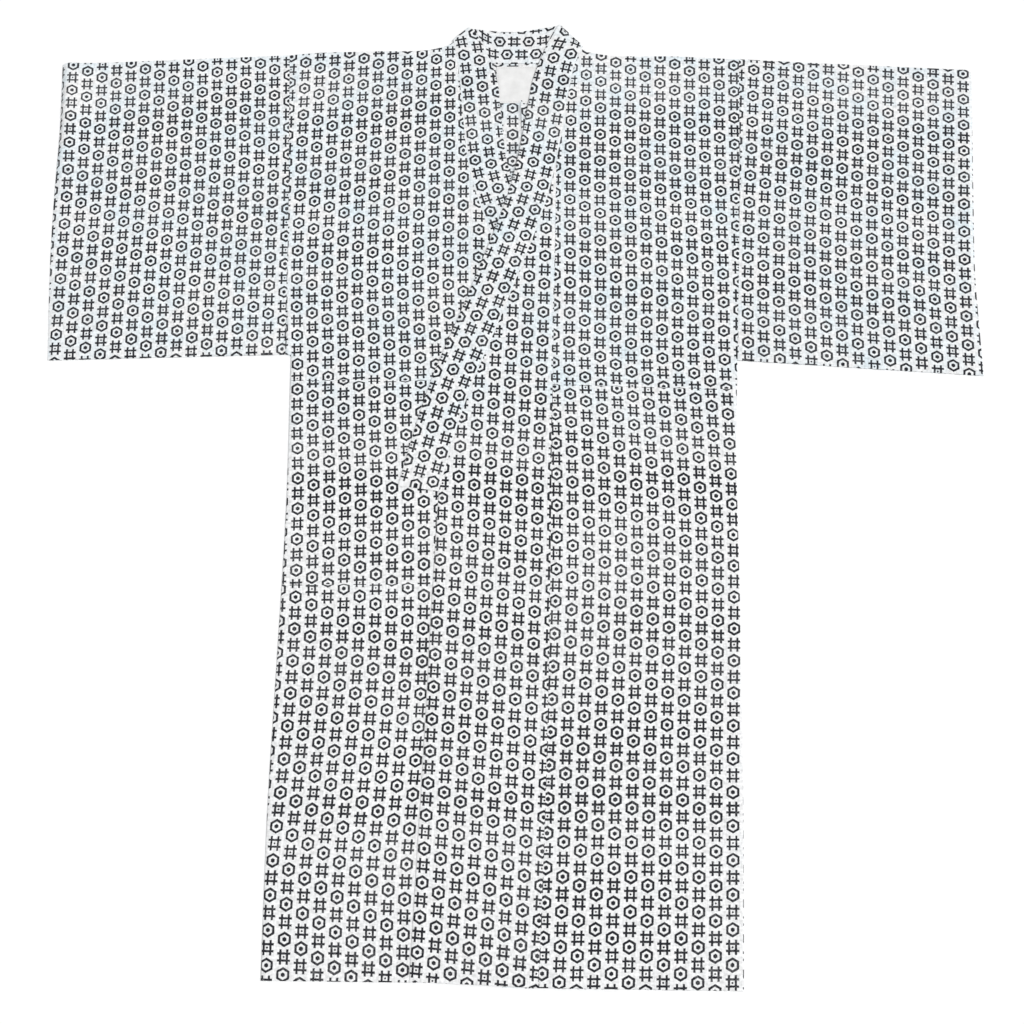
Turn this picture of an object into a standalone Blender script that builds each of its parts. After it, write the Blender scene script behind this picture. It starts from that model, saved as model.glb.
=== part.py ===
"""A cotton yukata robe laid flat on a surface, front up, left front over right.

Metres, +Z up. Left and right are the wearer's, so the left half lies at +X. The collar is at +Y,
the hem at -Y, and Z = 0 is the surface that the back and the undersides of the sleeves lie on.
Every piece is a wall of cloth: an inner face and an outer face, worked out on one grid of rows
(along the robe) and columns (across it), and closed round its edges.
"""

from collections import namedtuple

import bmesh
import bpy
import numpy as np

# Cloth and clearances
CLOTH = 0.0010
COLLAR_CLOTH = 0.0020   # the collar is the cloth folded in two round its seam allowances
SEAM_GAP = 0.0003       # between two pieces that are sewn together
LAYER_GAP = 0.0004      # between a layer and what it lies on

# Collar and label
COLLAR_WIDTH = 0.058
COLLAR_SLANT = 1.06     # the slanting band measures this much wider straight across the robe
COLLAR_END = -0.037     # how far down the front both ends of the collar reach
CORNER_START = 0.600    # above this height the collar turns towards its corner folds
LABEL_WIDTH = 0.060
LABEL_TOP = 0.6450
LABEL_BOTTOM = 0.580
LABEL_CENTRE = -0.001

# How an upper layer comes down beyond the edge of what lies under it
COVER_MARGIN = 0.016
COVER_RUN = 0.030
COLLAR_END_RUN = 0.060

# The fronts pass over the label near the neck
NECK_RISE_START = 0.500
NECK_RISE_RUN = 0.060
NECK_HALF_WIDTH = 0.150

# Grid sizes, with the rough size of each panel that they divide
ROW = 0.030             # one row of cloth, along the robe
COLUMN = 0.030          # one column of cloth, across it
BACK_ROW = 0.120        # the back lies flat, so its rows are longer
COLLAR_ROW = 0.015      # the collar's rows are short, to follow its curve
BODY_LENGTH = 1.380
BODY_WIDTH = 0.250
OKUMI_WIDTH = 0.170
SLEEVE_LENGTH = 0.490
SLEEVE_WIDTH = 0.350
COLLAR_COLUMNS = 3
NECK_COLUMNS = 8        # along the collar's back stretch
NECK_ROWS = 4           # rows of the back that fan out along the neckline
NECK_ROW_DROP = 0.014   # and how far each of them steps down at the armhole
TURN_STEPS = 5          # flats in a half turn of folded cloth

# Edges and seams, as the place across the robe (x) at each height along it (y)
Edge = namedtuple("Edge", "y x")
LEFT_SIDE = (
    Edge(-0.716, 0.296),
    Edge(-0.560, 0.302),
    Edge(-0.190, 0.311),
    Edge(0.040, 0.315),
    Edge(0.162, 0.321),
)
LEFT_ARMHOLE = (
    Edge(0.162, 0.321),
    Edge(0.420, 0.334),
    Edge(0.656, 0.342),
)
RIGHT_SIDE = (
    Edge(-0.706, -0.337),
    Edge(-0.470, -0.337),
    Edge(-0.300, -0.333),
    Edge(-0.050, -0.328),
    Edge(0.171, -0.330),
)
RIGHT_ARMHOLE = (
    Edge(0.171, -0.338),
    Edge(0.340, -0.341),
    Edge(0.662, -0.350),
)
LEFT_OKUMI_SEAM = (
    Edge(-0.713, 0.027),
    Edge(-0.510, 0.036),
    Edge(-0.220, 0.045),
    Edge(0.060, 0.050),
    Edge(0.273, 0.055),
    Edge(0.500, 0.060),
)
RIGHT_OKUMI_SEAM = (
    Edge(-0.708, -0.067),
    Edge(0.280, -0.068),
    Edge(0.500, -0.071),
)
LEFT_COLLAR_SEAM = (
    Edge(-0.037, -0.112),
    Edge(0.100, -0.074),
    Edge(0.250, -0.016),
    Edge(0.440, 0.050),
    Edge(0.566, 0.078),
    Edge(0.669, 0.108),
)
RIGHT_COLLAR_SEAM = (
    Edge(-0.037, 0.104),
    Edge(0.100, 0.066),
    Edge(0.250, 0.005),
    Edge(0.370, -0.042),
    Edge(0.470, -0.074),
    Edge(0.580, -0.091),
    Edge(0.683, -0.103),
)
LEFT_FRONT_EDGE = (
    Edge(-0.706, -0.143),
    Edge(-0.536, -0.135),
    Edge(-0.348, -0.126),
    Edge(-0.190, -0.120),
    Edge(-0.037, -0.112),
)
RIGHT_FRONT_EDGE = (
    Edge(-0.706, 0.101),
    Edge(-0.037, 0.104),
)
CENTRE_BACK = (
    Edge(-0.712, -0.020),
    Edge(0.300, 0.001),
    Edge(0.560, 0.006),
    Edge(0.650, 0.002),
)
LEFT_CUFF = (
    Edge(0.136, 0.678),
    Edge(0.321, 0.679),
    Edge(0.402, 0.684),
    Edge(0.636, 0.699),
)
RIGHT_CUFF = (
    Edge(0.160, -0.684),
    Edge(0.331, -0.693),
    Edge(0.430, -0.695),
    Edge(0.532, -0.695),
    Edge(0.646, -0.699),
)

# Lines that run across the robe, as the height (y) at each place across (x)
Line = namedtuple("Line", "x y")
NECKLINE = (
    Line(-0.103, 0.683),
    Line(-0.073, 0.664),
    Line(-0.043, 0.650),
    Line(-0.003, 0.648),
    Line(0.039, 0.650),
    Line(0.073, 0.657),
    Line(0.108, 0.669),
)
COLLAR_BACK_EDGE = (
    Line(-0.073, 0.709),
    Line(-0.009, 0.703),
    Line(0.065, 0.714),
)
RIGHT_SHOULDER = (
    Line(-0.350, 0.661),
    Line(-0.320, 0.664),
    Line(-0.219, 0.668),
    Line(-0.124, 0.672),
    Line(-0.106, 0.678),
)
LEFT_SHOULDER = (
    Line(0.108, 0.664),
    Line(0.124, 0.663),
    Line(0.242, 0.659),
    Line(0.342, 0.654),
)

# Straight lines across, as the heights of their two ends: nearer the robe's middle, and further out
Ends = namedtuple("Ends", "inner outer")
LEFT_HEM = Ends(-0.712, -0.716)
RIGHT_HEM = Ends(-0.706, -0.703)
LEFT_OKUMI_HEM = Ends(-0.704, -0.712)
RIGHT_OKUMI_HEM = Ends(-0.704, -0.706)
LEFT_SLEEVE_TOP = Ends(0.654, 0.635)
RIGHT_SLEEVE_TOP = Ends(0.661, 0.645)
LEFT_SLEEVE_BOTTOM = Ends(0.162, 0.138)
RIGHT_SLEEVE_BOTTOM = Ends(0.171, 0.162)
OKUMI_TIP_TRIM = 0.010  # the okumi ends this far short of its point
HEM_SLOPE_SHARE = 0.3   # the slope of the okumi's hem fades out over this share of its length

# Corner folds of the collar, from its seam to its free edge
Corner = namedtuple("Corner", "seam free")
LEFT_CORNER = Corner(Line(0.108, 0.669), Line(0.065, 0.714))
RIGHT_CORNER = Corner(Line(-0.103, 0.683), Line(-0.073, 0.709))

# Air under the cloth: soft swells, each a long mound on the front and the sleeves, turned in degrees
Swell = namedtuple("Swell", "x y along across turn height")
SWELLS = (
    Swell(-0.225, -0.420, 0.260, 0.055, 86, 0.0030),
    Swell(-0.200, 0.060, 0.160, 0.060, 100, 0.0024),
    Swell(-0.190, 0.400, 0.150, 0.055, 70, 0.0026),
    Swell(0.180, -0.500, 0.240, 0.060, 94, 0.0030),
    Swell(0.215, -0.130, 0.180, 0.055, 82, 0.0026),
    Swell(0.205, 0.330, 0.160, 0.060, 108, 0.0028),
    Swell(-0.040, -0.560, 0.170, 0.070, 88, 0.0022),
    Swell(-0.020, -0.220, 0.190, 0.070, 95, 0.0018),
    Swell(-0.500, 0.520, 0.140, 0.050, 12, 0.0028),
    Swell(-0.560, 0.300, 0.120, 0.055, 74, 0.0030),
    Swell(-0.430, 0.270, 0.110, 0.050, 110, 0.0022),
    Swell(0.500, 0.500, 0.130, 0.050, 166, 0.0028),
    Swell(0.570, 0.290, 0.120, 0.055, 100, 0.0030),
    Swell(0.420, 0.250, 0.110, 0.050, 70, 0.0022),
    Swell(-0.690, 0.520, 0.110, 0.030, 90, 0.0040),
    Swell(0.685, 0.420, 0.130, 0.030, 92, 0.0036),
)

# Finish of the plain solids: a white cotton with a close dark print, seen from far enough to mix
PRINTED_COTTON = (0.60, 0.61, 0.63, 1.0)
PLAIN_COTTON = (0.86, 0.86, 0.85, 1.0)
COTTON_ROUGHNESS = 0.85
SHARP_ANGLE = 50

# What one half of the robe is cut and sewn by; outward is +1 on the left half and -1 on the right
Half = namedtuple(
    "Half",
    "name outward side armhole okumi_seam collar_seam front_edge shoulder cuff"
    " hem okumi_hem sleeve_top sleeve_bottom corner level",
)


# Curves and blends

def smooth_curve(table, at):
    """The second column at each value of the first, on a smooth curve through the table's rows."""
    known, values = np.array(table).T
    at = np.clip(at, known[0], known[-1])
    slopes = np.gradient(values, known)
    row = np.clip(np.searchsorted(known, at) - 1, 0, len(known) - 2)
    span = known[row + 1] - known[row]
    t = (at - known[row]) / span
    start = (2 * t**3 - 3 * t**2 + 1) * values[row] + (t**3 - 2 * t**2 + t) * span * slopes[row]
    end = (3 * t**2 - 2 * t**3) * values[row + 1] + (t**3 - t**2) * span * slopes[row + 1]
    return start + end


def ease(share):
    """0 to 1, level at both ends."""
    share = np.clip(share, 0, 1)
    return share * share * (3 - 2 * share)


def fall(distance, run):
    """1 up to distance 0, then down to 0 at the end of the run."""
    return 1 - ease(distance / run)


def between(start, end, share):
    return start + (end - start) * share


def spaced(start, end, step):
    """Even values from start to end, about a step apart."""
    return np.linspace(start, end, 1 + max(1, round(abs(end - start) / step)))


# Heights of the layers

def swell_height(x, y):
    """The air under the front at each point, from the table of swells."""
    height = np.zeros(np.broadcast(x, y).shape)
    for swell in SWELLS:
        turn = np.radians(swell.turn)
        along = (x - swell.x) * np.cos(turn) + (y - swell.y) * np.sin(turn)
        across = (y - swell.y) * np.cos(turn) - (x - swell.x) * np.sin(turn)
        height = height + swell.height * np.exp(-((along / swell.along) ** 2 + (across / swell.across) ** 2))
    return height


def neck_rise(x, y):
    """What the label and the back stretch of the collar lift the fronts by."""
    along = ease((y - NECK_RISE_START) / NECK_RISE_RUN)
    across = fall(np.abs(x) - NECK_HALF_WIDTH, NECK_RISE_RUN)
    return (CLOTH + LAYER_GAP) * along * across


def right_level(x, y):
    """Underside of the right front and of both sleeves' fronts."""
    return CLOTH + LAYER_GAP + neck_rise(x, y) + swell_height(x, y)


def right_collar_free(y):
    """The free edge of the right collar, as the place across at each height."""
    return smooth_curve(RIGHT_COLLAR_SEAM, y) + COLLAR_WIDTH * COLLAR_SLANT


def covers_right_front(x, y):
    """1 over the right front, falling to 0 beyond its free edge."""
    okumi_edge = smooth_curve(RIGHT_FRONT_EDGE, y)
    beside_collar = fall(COLLAR_END - COVER_MARGIN - y, COLLAR_END_RUN)
    edge = between(okumi_edge, right_collar_free(y), beside_collar)
    return fall(x - edge - COVER_MARGIN, COVER_RUN)


def covers_right_collar(x, y):
    """1 over the right collar, falling to 0 beyond its two edges and its end."""
    beyond_free_edge = fall(x - right_collar_free(y) - COVER_MARGIN, COVER_RUN)
    beyond_seam = fall(smooth_curve(RIGHT_COLLAR_SEAM, y) - x - COVER_MARGIN, COVER_RUN)
    beyond_end = fall(COLLAR_END - COVER_MARGIN - y, COVER_RUN)
    return beyond_free_edge * beyond_seam * beyond_end


def left_level(x, y):
    """Underside of the left front, which lies on the right front and on the right collar."""
    over_front = (CLOTH + LAYER_GAP) * covers_right_front(x, y)
    over_collar = (COLLAR_CLOTH - CLOTH) * covers_right_collar(x, y)
    return right_level(x, y) + over_front + over_collar


# Faces and solids

def raised(x, y, z):
    """Points of a face, from its plan and its height."""
    return np.stack(np.broadcast_arrays(x, y, z), axis=-1)


def half_turn(x, y, underside, out_x, out_y, thickness):
    """Two faces of a wall that folds under: a half circle from the upper layer down to the lower.

    The upper layer's underside is at the given height, and the lower layer lies on the surface.
    """
    inside_radius = (underside - thickness) / 2
    centre = thickness + inside_radius
    angles = np.linspace(0, np.pi, TURN_STEPS + 1)[1:-1, None]
    faces = []
    for radius in (inside_radius, inside_radius + thickness):
        reach = radius * np.sin(angles)
        faces.append(raised(x + out_x * reach, y + out_y * reach, centre + radius * np.cos(angles)))
    return faces


def folded_length(front_x, front_y, back_x, back_y, level, lean):
    """Faces of one length of cloth: up the front, over a fold, and down the back on the surface."""
    underside = level(front_x, front_y)
    turn = half_turn(front_x[-1], front_y[-1], underside[-1], lean, 1, CLOTH)
    inner = [raised(front_x, front_y, underside), turn[0], raised(back_x, back_y, CLOTH)]
    outer = [raised(front_x, front_y, underside + CLOTH), turn[1], raised(back_x, back_y, 0.0)]
    return np.concatenate(inner), np.concatenate(outer)


def cotton(name, colour):
    """A matt cotton of one colour."""
    material = bpy.data.materials.new(f"{name}_cotton")
    material.use_nodes = True
    shader = material.node_tree.nodes["Principled BSDF"]
    shader.inputs["Base Color"].default_value = colour
    shader.inputs["Roughness"].default_value = COTTON_ROUGHNESS
    shader.inputs["Metallic"].default_value = 0.0
    return material


def solid(name, inner, outer, colour):
    """One closed wall between two faces with the same grid, as an object with its own material."""
    rows, columns = inner.shape[:2]
    number = np.arange(rows * columns).reshape(rows, columns)
    corners = [number[:-1, :-1], number[:-1, 1:], number[1:, 1:], number[1:, :-1]]
    face = np.stack(corners, axis=-1).reshape(-1, 4)
    rim = np.concatenate([number[0, :], number[1:, -1], number[-1, -2::-1], number[-2:0:-1, 0]])
    following = np.roll(rim, -1)
    behind = number.size
    sides = np.stack([rim, following, following + behind, rim + behind], axis=-1)
    faces = np.concatenate([face, face[:, ::-1] + behind, sides])
    points = np.concatenate([inner.reshape(-1, 3), outer.reshape(-1, 3)])

    mesh = bpy.data.meshes.new(name)
    mesh.from_pydata(points.tolist(), [], faces.tolist())
    built = bmesh.new()
    built.from_mesh(mesh)
    bmesh.ops.recalc_face_normals(built, faces=built.faces)
    built.to_mesh(mesh)
    built.free()
    mesh.shade_smooth()
    mesh.set_sharp_from_angle(angle=np.radians(SHARP_ANGLE))
    mesh.materials.append(cotton(name, colour))
    piece = bpy.data.objects.new(name, mesh)
    bpy.context.scene.collection.objects.link(piece)
    return piece


# Body lengths

def body_side(half, y):
    """The body's outer edge: its side seam, then the armhole seam, which stands a little further out."""
    rounding = 1e-6
    below_armhole = y < half.armhole[0].y - rounding
    seam = np.where(below_armhole, smooth_curve(half.side, y), smooth_curve(half.armhole, y))
    return seam - half.outward * SEAM_GAP / 2


def body_front_edge(half, y):
    """Where a body length ends at the front: its okumi seam, then the collar's seam above the tip."""
    okumi_seam = smooth_curve(half.okumi_seam, y) * half.outward
    collar_seam = smooth_curve(half.collar_seam, y) * half.outward
    return (np.maximum(okumi_seam, collar_seam) + SEAM_GAP / 2) * half.outward


def okumi_tip(half):
    """The height at which the okumi seam runs out under the collar's seam."""
    heights = np.linspace(0.40, 0.50, 400)
    apart = np.abs(smooth_curve(half.okumi_seam, heights) - smooth_curve(half.collar_seam, heights))
    return heights[np.argmin(apart)]


def body(half):
    """One length of cloth for half the body: the front, the shoulder and the back."""
    shoulder_ends = half.shoulder[:: int(-half.outward)]
    columns = spaced(0, 1, COLUMN / BODY_WIDTH)
    top = smooth_curve(half.shoulder, between(shoulder_ends[0].x, shoulder_ends[-1].x, columns))
    bottom = between(half.hem.outer, half.hem.inner, columns)

    underarm = (half.armhole[0].y - half.hem.outer) / (top[0] - half.hem.outer)
    tip = (okumi_tip(half) - half.hem.inner) / (top[-1] - half.hem.inner)
    below_tip = [spaced(0, underarm, ROW / BODY_LENGTH), spaced(underarm, tip, ROW / BODY_LENGTH)]
    above_tip = spaced(tip, 1, COLLAR_ROW / BODY_LENGTH)
    rows = np.unique(np.concatenate([*below_tip, above_tip]))

    front_y = between(bottom, top, rows[:, None])
    front_x = between(body_side(half, front_y), body_front_edge(half, front_y), columns)
    back_x, back_y = body_back(half, front_x[-1], front_y[-1], columns)
    seam_slope = (front_x[-1, -1] - front_x[-2, -1]) / (front_y[-1, -1] - front_y[-2, -1])
    inner, outer = folded_length(front_x, front_y, back_x, back_y, half.level, seam_slope * columns)
    solid(f"body_{half.name}", inner, outer, PRINTED_COTTON)


def body_back(half, fold_x, fold_y, columns):
    """Plan of the back: rows fan out from the fold along the neckline, then run down to the hem."""
    neck_middle = smooth_curve(CENTRE_BACK, LABEL_TOP) + half.outward * SEAM_GAP
    neck_x = np.linspace(fold_x[-1], neck_middle, NECK_ROWS + 1)
    neck_y = smooth_curve(NECKLINE, neck_x) - 2 * SEAM_GAP
    neck_y[0] = fold_y[-1]
    side_neck = fold_y[0] - NECK_ROW_DROP * np.arange(NECK_ROWS + 1)

    to_underarm = spaced(side_neck[-1], half.armhole[0].y, BACK_ROW)[1:]
    to_hem = spaced(half.armhole[0].y, half.hem.outer, BACK_ROW)[1:]
    side_low = np.concatenate([to_underarm, to_hem])
    share = (side_low - side_neck[-1]) / (half.hem.outer - side_neck[-1])
    middle_low = between(neck_y[-1], half.hem.inner, share)

    side_y = np.concatenate([side_neck, side_low])
    side_x = body_side(half, side_y)
    middle_x = np.concatenate([neck_x, smooth_curve(CENTRE_BACK, middle_low) + half.outward * SEAM_GAP / 2])
    middle_y = np.concatenate([neck_y, middle_low])
    bow = fold_y - between(fold_y[0], fold_y[-1], columns)
    bow_share = fall(np.arange(len(side_y)), NECK_ROWS)[:, None]
    x = between(side_x[:, None], middle_x[:, None], columns)
    y = between(side_y[:, None], middle_y[:, None], columns) + bow * bow_share
    return x, y


# Okumi and sleeves

def okumi(half):
    """The narrow panel in front of a body length, cut to a point where the collar crosses it."""
    top = okumi_tip(half) - OKUMI_TIP_TRIM
    below_collar = spaced(half.okumi_hem.outer, COLLAR_END, ROW)
    beside_collar = spaced(COLLAR_END, top, ROW)[1:]
    heights = np.concatenate([below_collar, beside_collar])
    share = (heights - heights[0]) / (top - heights[0])
    columns = spaced(0, 1, COLUMN / OKUMI_WIDTH)
    hem_slope = (half.okumi_hem.inner - half.okumi_hem.outer) * fall(share, HEM_SLOPE_SHARE)
    y = heights[:, None] + hem_slope[:, None] * columns

    seam_x = smooth_curve(half.okumi_seam, y) - half.outward * SEAM_GAP / 2
    collar_seam_x = smooth_curve(half.collar_seam, y) + half.outward * SEAM_GAP / 2
    free_x = np.where(y < COLLAR_END, smooth_curve(half.front_edge, y), collar_seam_x)
    x = between(seam_x, free_x, columns)
    underside = half.level(x, y)
    solid(f"okumi_{half.name}", raised(x, y, underside), raised(x, y, underside + CLOTH), PRINTED_COTTON)


def sleeve_plan(half, rows, columns):
    bottom = between(half.sleeve_bottom.inner, half.sleeve_bottom.outer, columns)
    top = between(half.sleeve_top.inner, half.sleeve_top.outer, columns)
    y = between(bottom, top, rows[:, None])
    seam_x = smooth_curve(half.armhole, y) + half.outward * SEAM_GAP / 2
    return between(seam_x, smooth_curve(half.cuff, y), columns), y


def sleeve(half):
    """One length of cloth folded along the top of the arm and sewn to the body's side."""
    columns = spaced(0, 1, COLUMN / SLEEVE_WIDTH)
    front = sleeve_plan(half, spaced(0, 1, ROW / SLEEVE_LENGTH), columns)
    back = sleeve_plan(half, spaced(1, 0, BACK_ROW / SLEEVE_LENGTH), columns)
    inner, outer = folded_length(*front, *back, right_level, 0)
    solid(f"sleeve_{half.name}", inner, outer, PRINTED_COTTON)


# Collar and label

def collar_front(half, across):
    """Faces of one front stretch of the collar, from its blunt end up to its corner fold."""
    y = spaced(COLLAR_END, half.corner.seam.y, COLLAR_ROW)
    step = 0.001
    slope = (smooth_curve(half.collar_seam, y + step) - smooth_curve(half.collar_seam, y - step)) / (2 * step)
    length = np.hypot(1, slope)
    seam_x = smooth_curve(half.collar_seam, y) - half.outward * SEAM_GAP / 2
    free_x = seam_x - half.outward * COLLAR_WIDTH / length
    free_y = y + half.outward * COLLAR_WIDTH * slope / length

    turning = ease((y - CORNER_START) / (half.corner.seam.y - CORNER_START))
    free_x = between(free_x, half.corner.free.x, turning)
    free_y = between(free_y, half.corner.free.y, turning)
    plan_x = between(seam_x[:, None], free_x[:, None], across)
    plan_y = between(y[:, None], free_y[:, None], across)
    underside = half.level(plan_x, plan_y)
    return raised(plan_x, plan_y, underside), raised(plan_x, plan_y, underside + COLLAR_CLOTH)


def collar_corner(corner, across, underside):
    """Faces of the half turn at a corner, from the front stretch down to the back one."""
    run_x = corner.free.x - corner.seam.x
    run_y = corner.free.y - corner.seam.y
    length = np.hypot(run_x, run_y)
    out_x = -run_y / length * np.sign(run_x)
    out_y = abs(run_x) / length
    x = corner.seam.x + run_x * across
    y = corner.seam.y + run_y * across
    return half_turn(x, y, underside, out_x, out_y, COLLAR_CLOTH)


def collar_back(right_corner, left_corner, across):
    """Plan of the stretch behind the neck."""
    share = np.linspace(0, 1, NECK_COLUMNS + 1)
    seam_x = between(right_corner.seam.x, left_corner.seam.x, share)
    free_x = between(right_corner.free.x, left_corner.free.x, share)
    seam_y = smooth_curve(NECKLINE, seam_x)
    free_y = smooth_curve(COLLAR_BACK_EDGE, free_x)
    x = between(seam_x[:, None], free_x[:, None], across)
    y = between(seam_y[:, None], free_y[:, None], across)
    return x, y


def collar(left, right):
    """The collar: one folded band up the right front, round the neck and down the left front."""
    across = np.linspace(0, 1, COLLAR_COLUMNS + 1)
    right_inner, right_outer = collar_front(right, across)
    left_inner, left_outer = collar_front(left, across)
    right_turn = collar_corner(right.corner, across, right_inner[-1, :, 2])
    left_turn = collar_corner(left.corner, across, left_inner[-1, :, 2])
    x, y = collar_back(right.corner, left.corner, across)
    inner = [right_inner, right_turn[0], raised(x, y, COLLAR_CLOTH), left_turn[0][::-1], left_inner[::-1]]
    outer = [right_outer, right_turn[1], raised(x, y, 0.0), left_turn[1][::-1], left_outer[::-1]]
    solid("collar", np.concatenate(inner), np.concatenate(outer), PRINTED_COTTON)


def neck_label():
    """The blank cloth patch sewn inside the back, just below the collar."""
    share = np.linspace(0, 1, 4)
    x = LABEL_CENTRE + (share[None, :] - 0.5) * LABEL_WIDTH
    y = between(LABEL_BOTTOM, LABEL_TOP, share[:, None])
    underside = CLOTH + SEAM_GAP
    solid("neck_label", raised(x, y, underside), raised(x, y, underside + CLOTH), PLAIN_COTTON)


def clear_scene():
    for old in list(bpy.data.objects):
        bpy.data.objects.remove(old, do_unlink=True)


def main():
    clear_scene()
    left = Half(
        name="left", outward=1, side=LEFT_SIDE, armhole=LEFT_ARMHOLE, okumi_seam=LEFT_OKUMI_SEAM,
        collar_seam=LEFT_COLLAR_SEAM, front_edge=LEFT_FRONT_EDGE, shoulder=LEFT_SHOULDER, cuff=LEFT_CUFF,
        hem=LEFT_HEM, okumi_hem=LEFT_OKUMI_HEM, sleeve_top=LEFT_SLEEVE_TOP,
        sleeve_bottom=LEFT_SLEEVE_BOTTOM, corner=LEFT_CORNER, level=left_level,
    )
    right = Half(
        name="right", outward=-1, side=RIGHT_SIDE, armhole=RIGHT_ARMHOLE, okumi_seam=RIGHT_OKUMI_SEAM,
        collar_seam=RIGHT_COLLAR_SEAM, front_edge=RIGHT_FRONT_EDGE, shoulder=RIGHT_SHOULDER, cuff=RIGHT_CUFF,
        hem=RIGHT_HEM, okumi_hem=RIGHT_OKUMI_HEM, sleeve_top=RIGHT_SLEEVE_TOP,
        sleeve_bottom=RIGHT_SLEEVE_BOTTOM, corner=RIGHT_CORNER, level=right_level,
    )
    for half in (left, right):
        body(half)
        okumi(half)
        sleeve(half)
    collar(left, right)
    neck_label()


main()
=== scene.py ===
"""A cotton yukata robe laid flat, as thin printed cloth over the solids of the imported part.

Metres, +Z up, the wearer's left at +X, the collar at +Y. Z = 0 is the surface that it lies on.
"""

from collections import namedtuple

import bmesh
import bpy
import numpy as np
from bpy.props import FloatProperty, FloatVectorProperty, PointerProperty
from bpy.types import Operator, Panel, PropertyGroup
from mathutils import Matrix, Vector


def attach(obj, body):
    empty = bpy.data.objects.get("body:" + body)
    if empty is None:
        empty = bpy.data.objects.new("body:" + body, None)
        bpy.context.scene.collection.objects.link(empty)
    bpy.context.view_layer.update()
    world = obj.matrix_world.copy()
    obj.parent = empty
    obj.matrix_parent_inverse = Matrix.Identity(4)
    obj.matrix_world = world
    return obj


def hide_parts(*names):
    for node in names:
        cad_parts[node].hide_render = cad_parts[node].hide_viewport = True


bl_info = {
    "name": "Cotton yukata robe",
    "version": (1, 0, 0),
    "blender": (4, 5, 0),
    "location": "3D View > Sidebar > Robe",
    "description": "Dresses the packed robe in thin printed cotton, with a floor, light and camera",
    "category": "Object",
}

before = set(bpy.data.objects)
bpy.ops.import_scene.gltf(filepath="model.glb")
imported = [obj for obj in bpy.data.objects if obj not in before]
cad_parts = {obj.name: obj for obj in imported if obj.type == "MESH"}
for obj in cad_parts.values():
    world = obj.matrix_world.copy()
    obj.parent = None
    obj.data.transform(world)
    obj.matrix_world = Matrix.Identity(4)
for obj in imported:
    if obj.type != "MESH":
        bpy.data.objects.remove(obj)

# Solids of the part that the cloth stands for
SOLID_CLOTH = 0.0010
SOLID_COLLAR = 0.0020
LAYER_GAP = 0.0004

# Sizes of the collar and the label
COLLAR_WIDTH = 0.058
COLLAR_SLANT = 1.06
COLLAR_END = -0.037
CORNER_START = 0.600
COLLAR_TOP = 0.0017
COLLAR_RISE = 0.008
COLLAR_ROLL = 0.0024
COLLAR_CROWN = 0.0002
COLLAR_LIFT = 0.0001
COLLAR_PUCKER_SHARE = 0.6
COLLAR_PUCKER_SHIFT = 0.004
COLLAR_CORNER_SHARE = 0.12
COLLAR_SIDE_RUN = 0.004
COLLAR_BACK_SHIFT = 0.0045
LABEL_WIDTH = 0.060
LABEL_TOP = 0.6425
LABEL_BOTTOM = 0.580
LABEL_CENTRE = -0.001

# How the left front rises over the right front and the right collar
COVER_MARGIN = 0.016
COVER_RUN = 0.030
COLLAR_END_RUN = 0.060

# How the fronts rise over the label and the back stretch of the collar
NECK_RISE_START = 0.500
NECK_RISE_RUN = 0.060
NECK_HALF_WIDTH = 0.150

# Rough sizes of the panels, which their rows and columns divide, and flat sizes of their cuts
BODY_LENGTH = 1.380
BODY_WIDTH = 0.250
OKUMI_WIDTH = 0.170
SLEEVE_LENGTH = 0.490
SLEEVE_WIDTH = 0.350

# Steps of the grids
STEP = 0.005
EDGE_STEP = 0.0008
EDGE_REACH = 0.005
TURN_STEPS = 8
NECK_ROWS = 24
NECK_ROW_DROP = 0.0024
NECK_STEPS = 44

# Steps of the other grids: coarse, fine at each mark, and how far the fine ones reach
BACK_GRADING = (0.030, 0.002, 0.010)
BACK_SIDE_GRADING = (0.012, 0.004, 0.080)
COLLAR_GRADING = (0.0040, 0.0004, 0.0028)
LABEL_GRADING = (0.0020, 0.0006, 0.0020)

# Print and weave: sizes in metres, and shares of the motif that they belong to
PRINT_PITCH = 0.0224
BACK_PRINT_PITCH = 0.0228
HEXAGON_SLOPE = 0.8660254
HEXAGON = 0.0071
HEART_SHARE = 0.38
CRIB = 0.00445
BAR_SHARE = 0.94
ACROSS_BAR_REACH = 1.96
UPRIGHT_BAR_REACH = 2.2
DOT_SHARE = 0.3
PRINT_LINE = 0.0031
LINE_UNEVENNESS = 0.0009
INK_BLEED = 0.0011
INK_SOFTNESS = 0.0005
WRONG_SIDE_LOSS = 0.03
WEAVE_DEPTH = 0.00012
PRINTED_THREAD = 0.0006
LABEL_THREAD = 0.0005

# Tone of the cloth: the cool patches, the light along the yarns and the strength of the ink
COOL_RUN = 0.12
COOL_LEAST = 0.15
COOL_THRESHOLD = 0.80
COOL_GAIN = 1.7
GROUND_LIGHT = 1.48
GROUND_LIGHT_MOST = 1.08
YARN_DEPTH = 0.55
INK_BASE = 0.59
INK_GRAIN = 0.50
INK_BROAD = 0.30

# Edges of the panels
SEAM_GAP = 0.0001
OKUMI_TIP_TRIM = 0.001
HEM_SLOPE_SHARE = 0.3
SHARP_ANGLE = np.radians(50)

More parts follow.
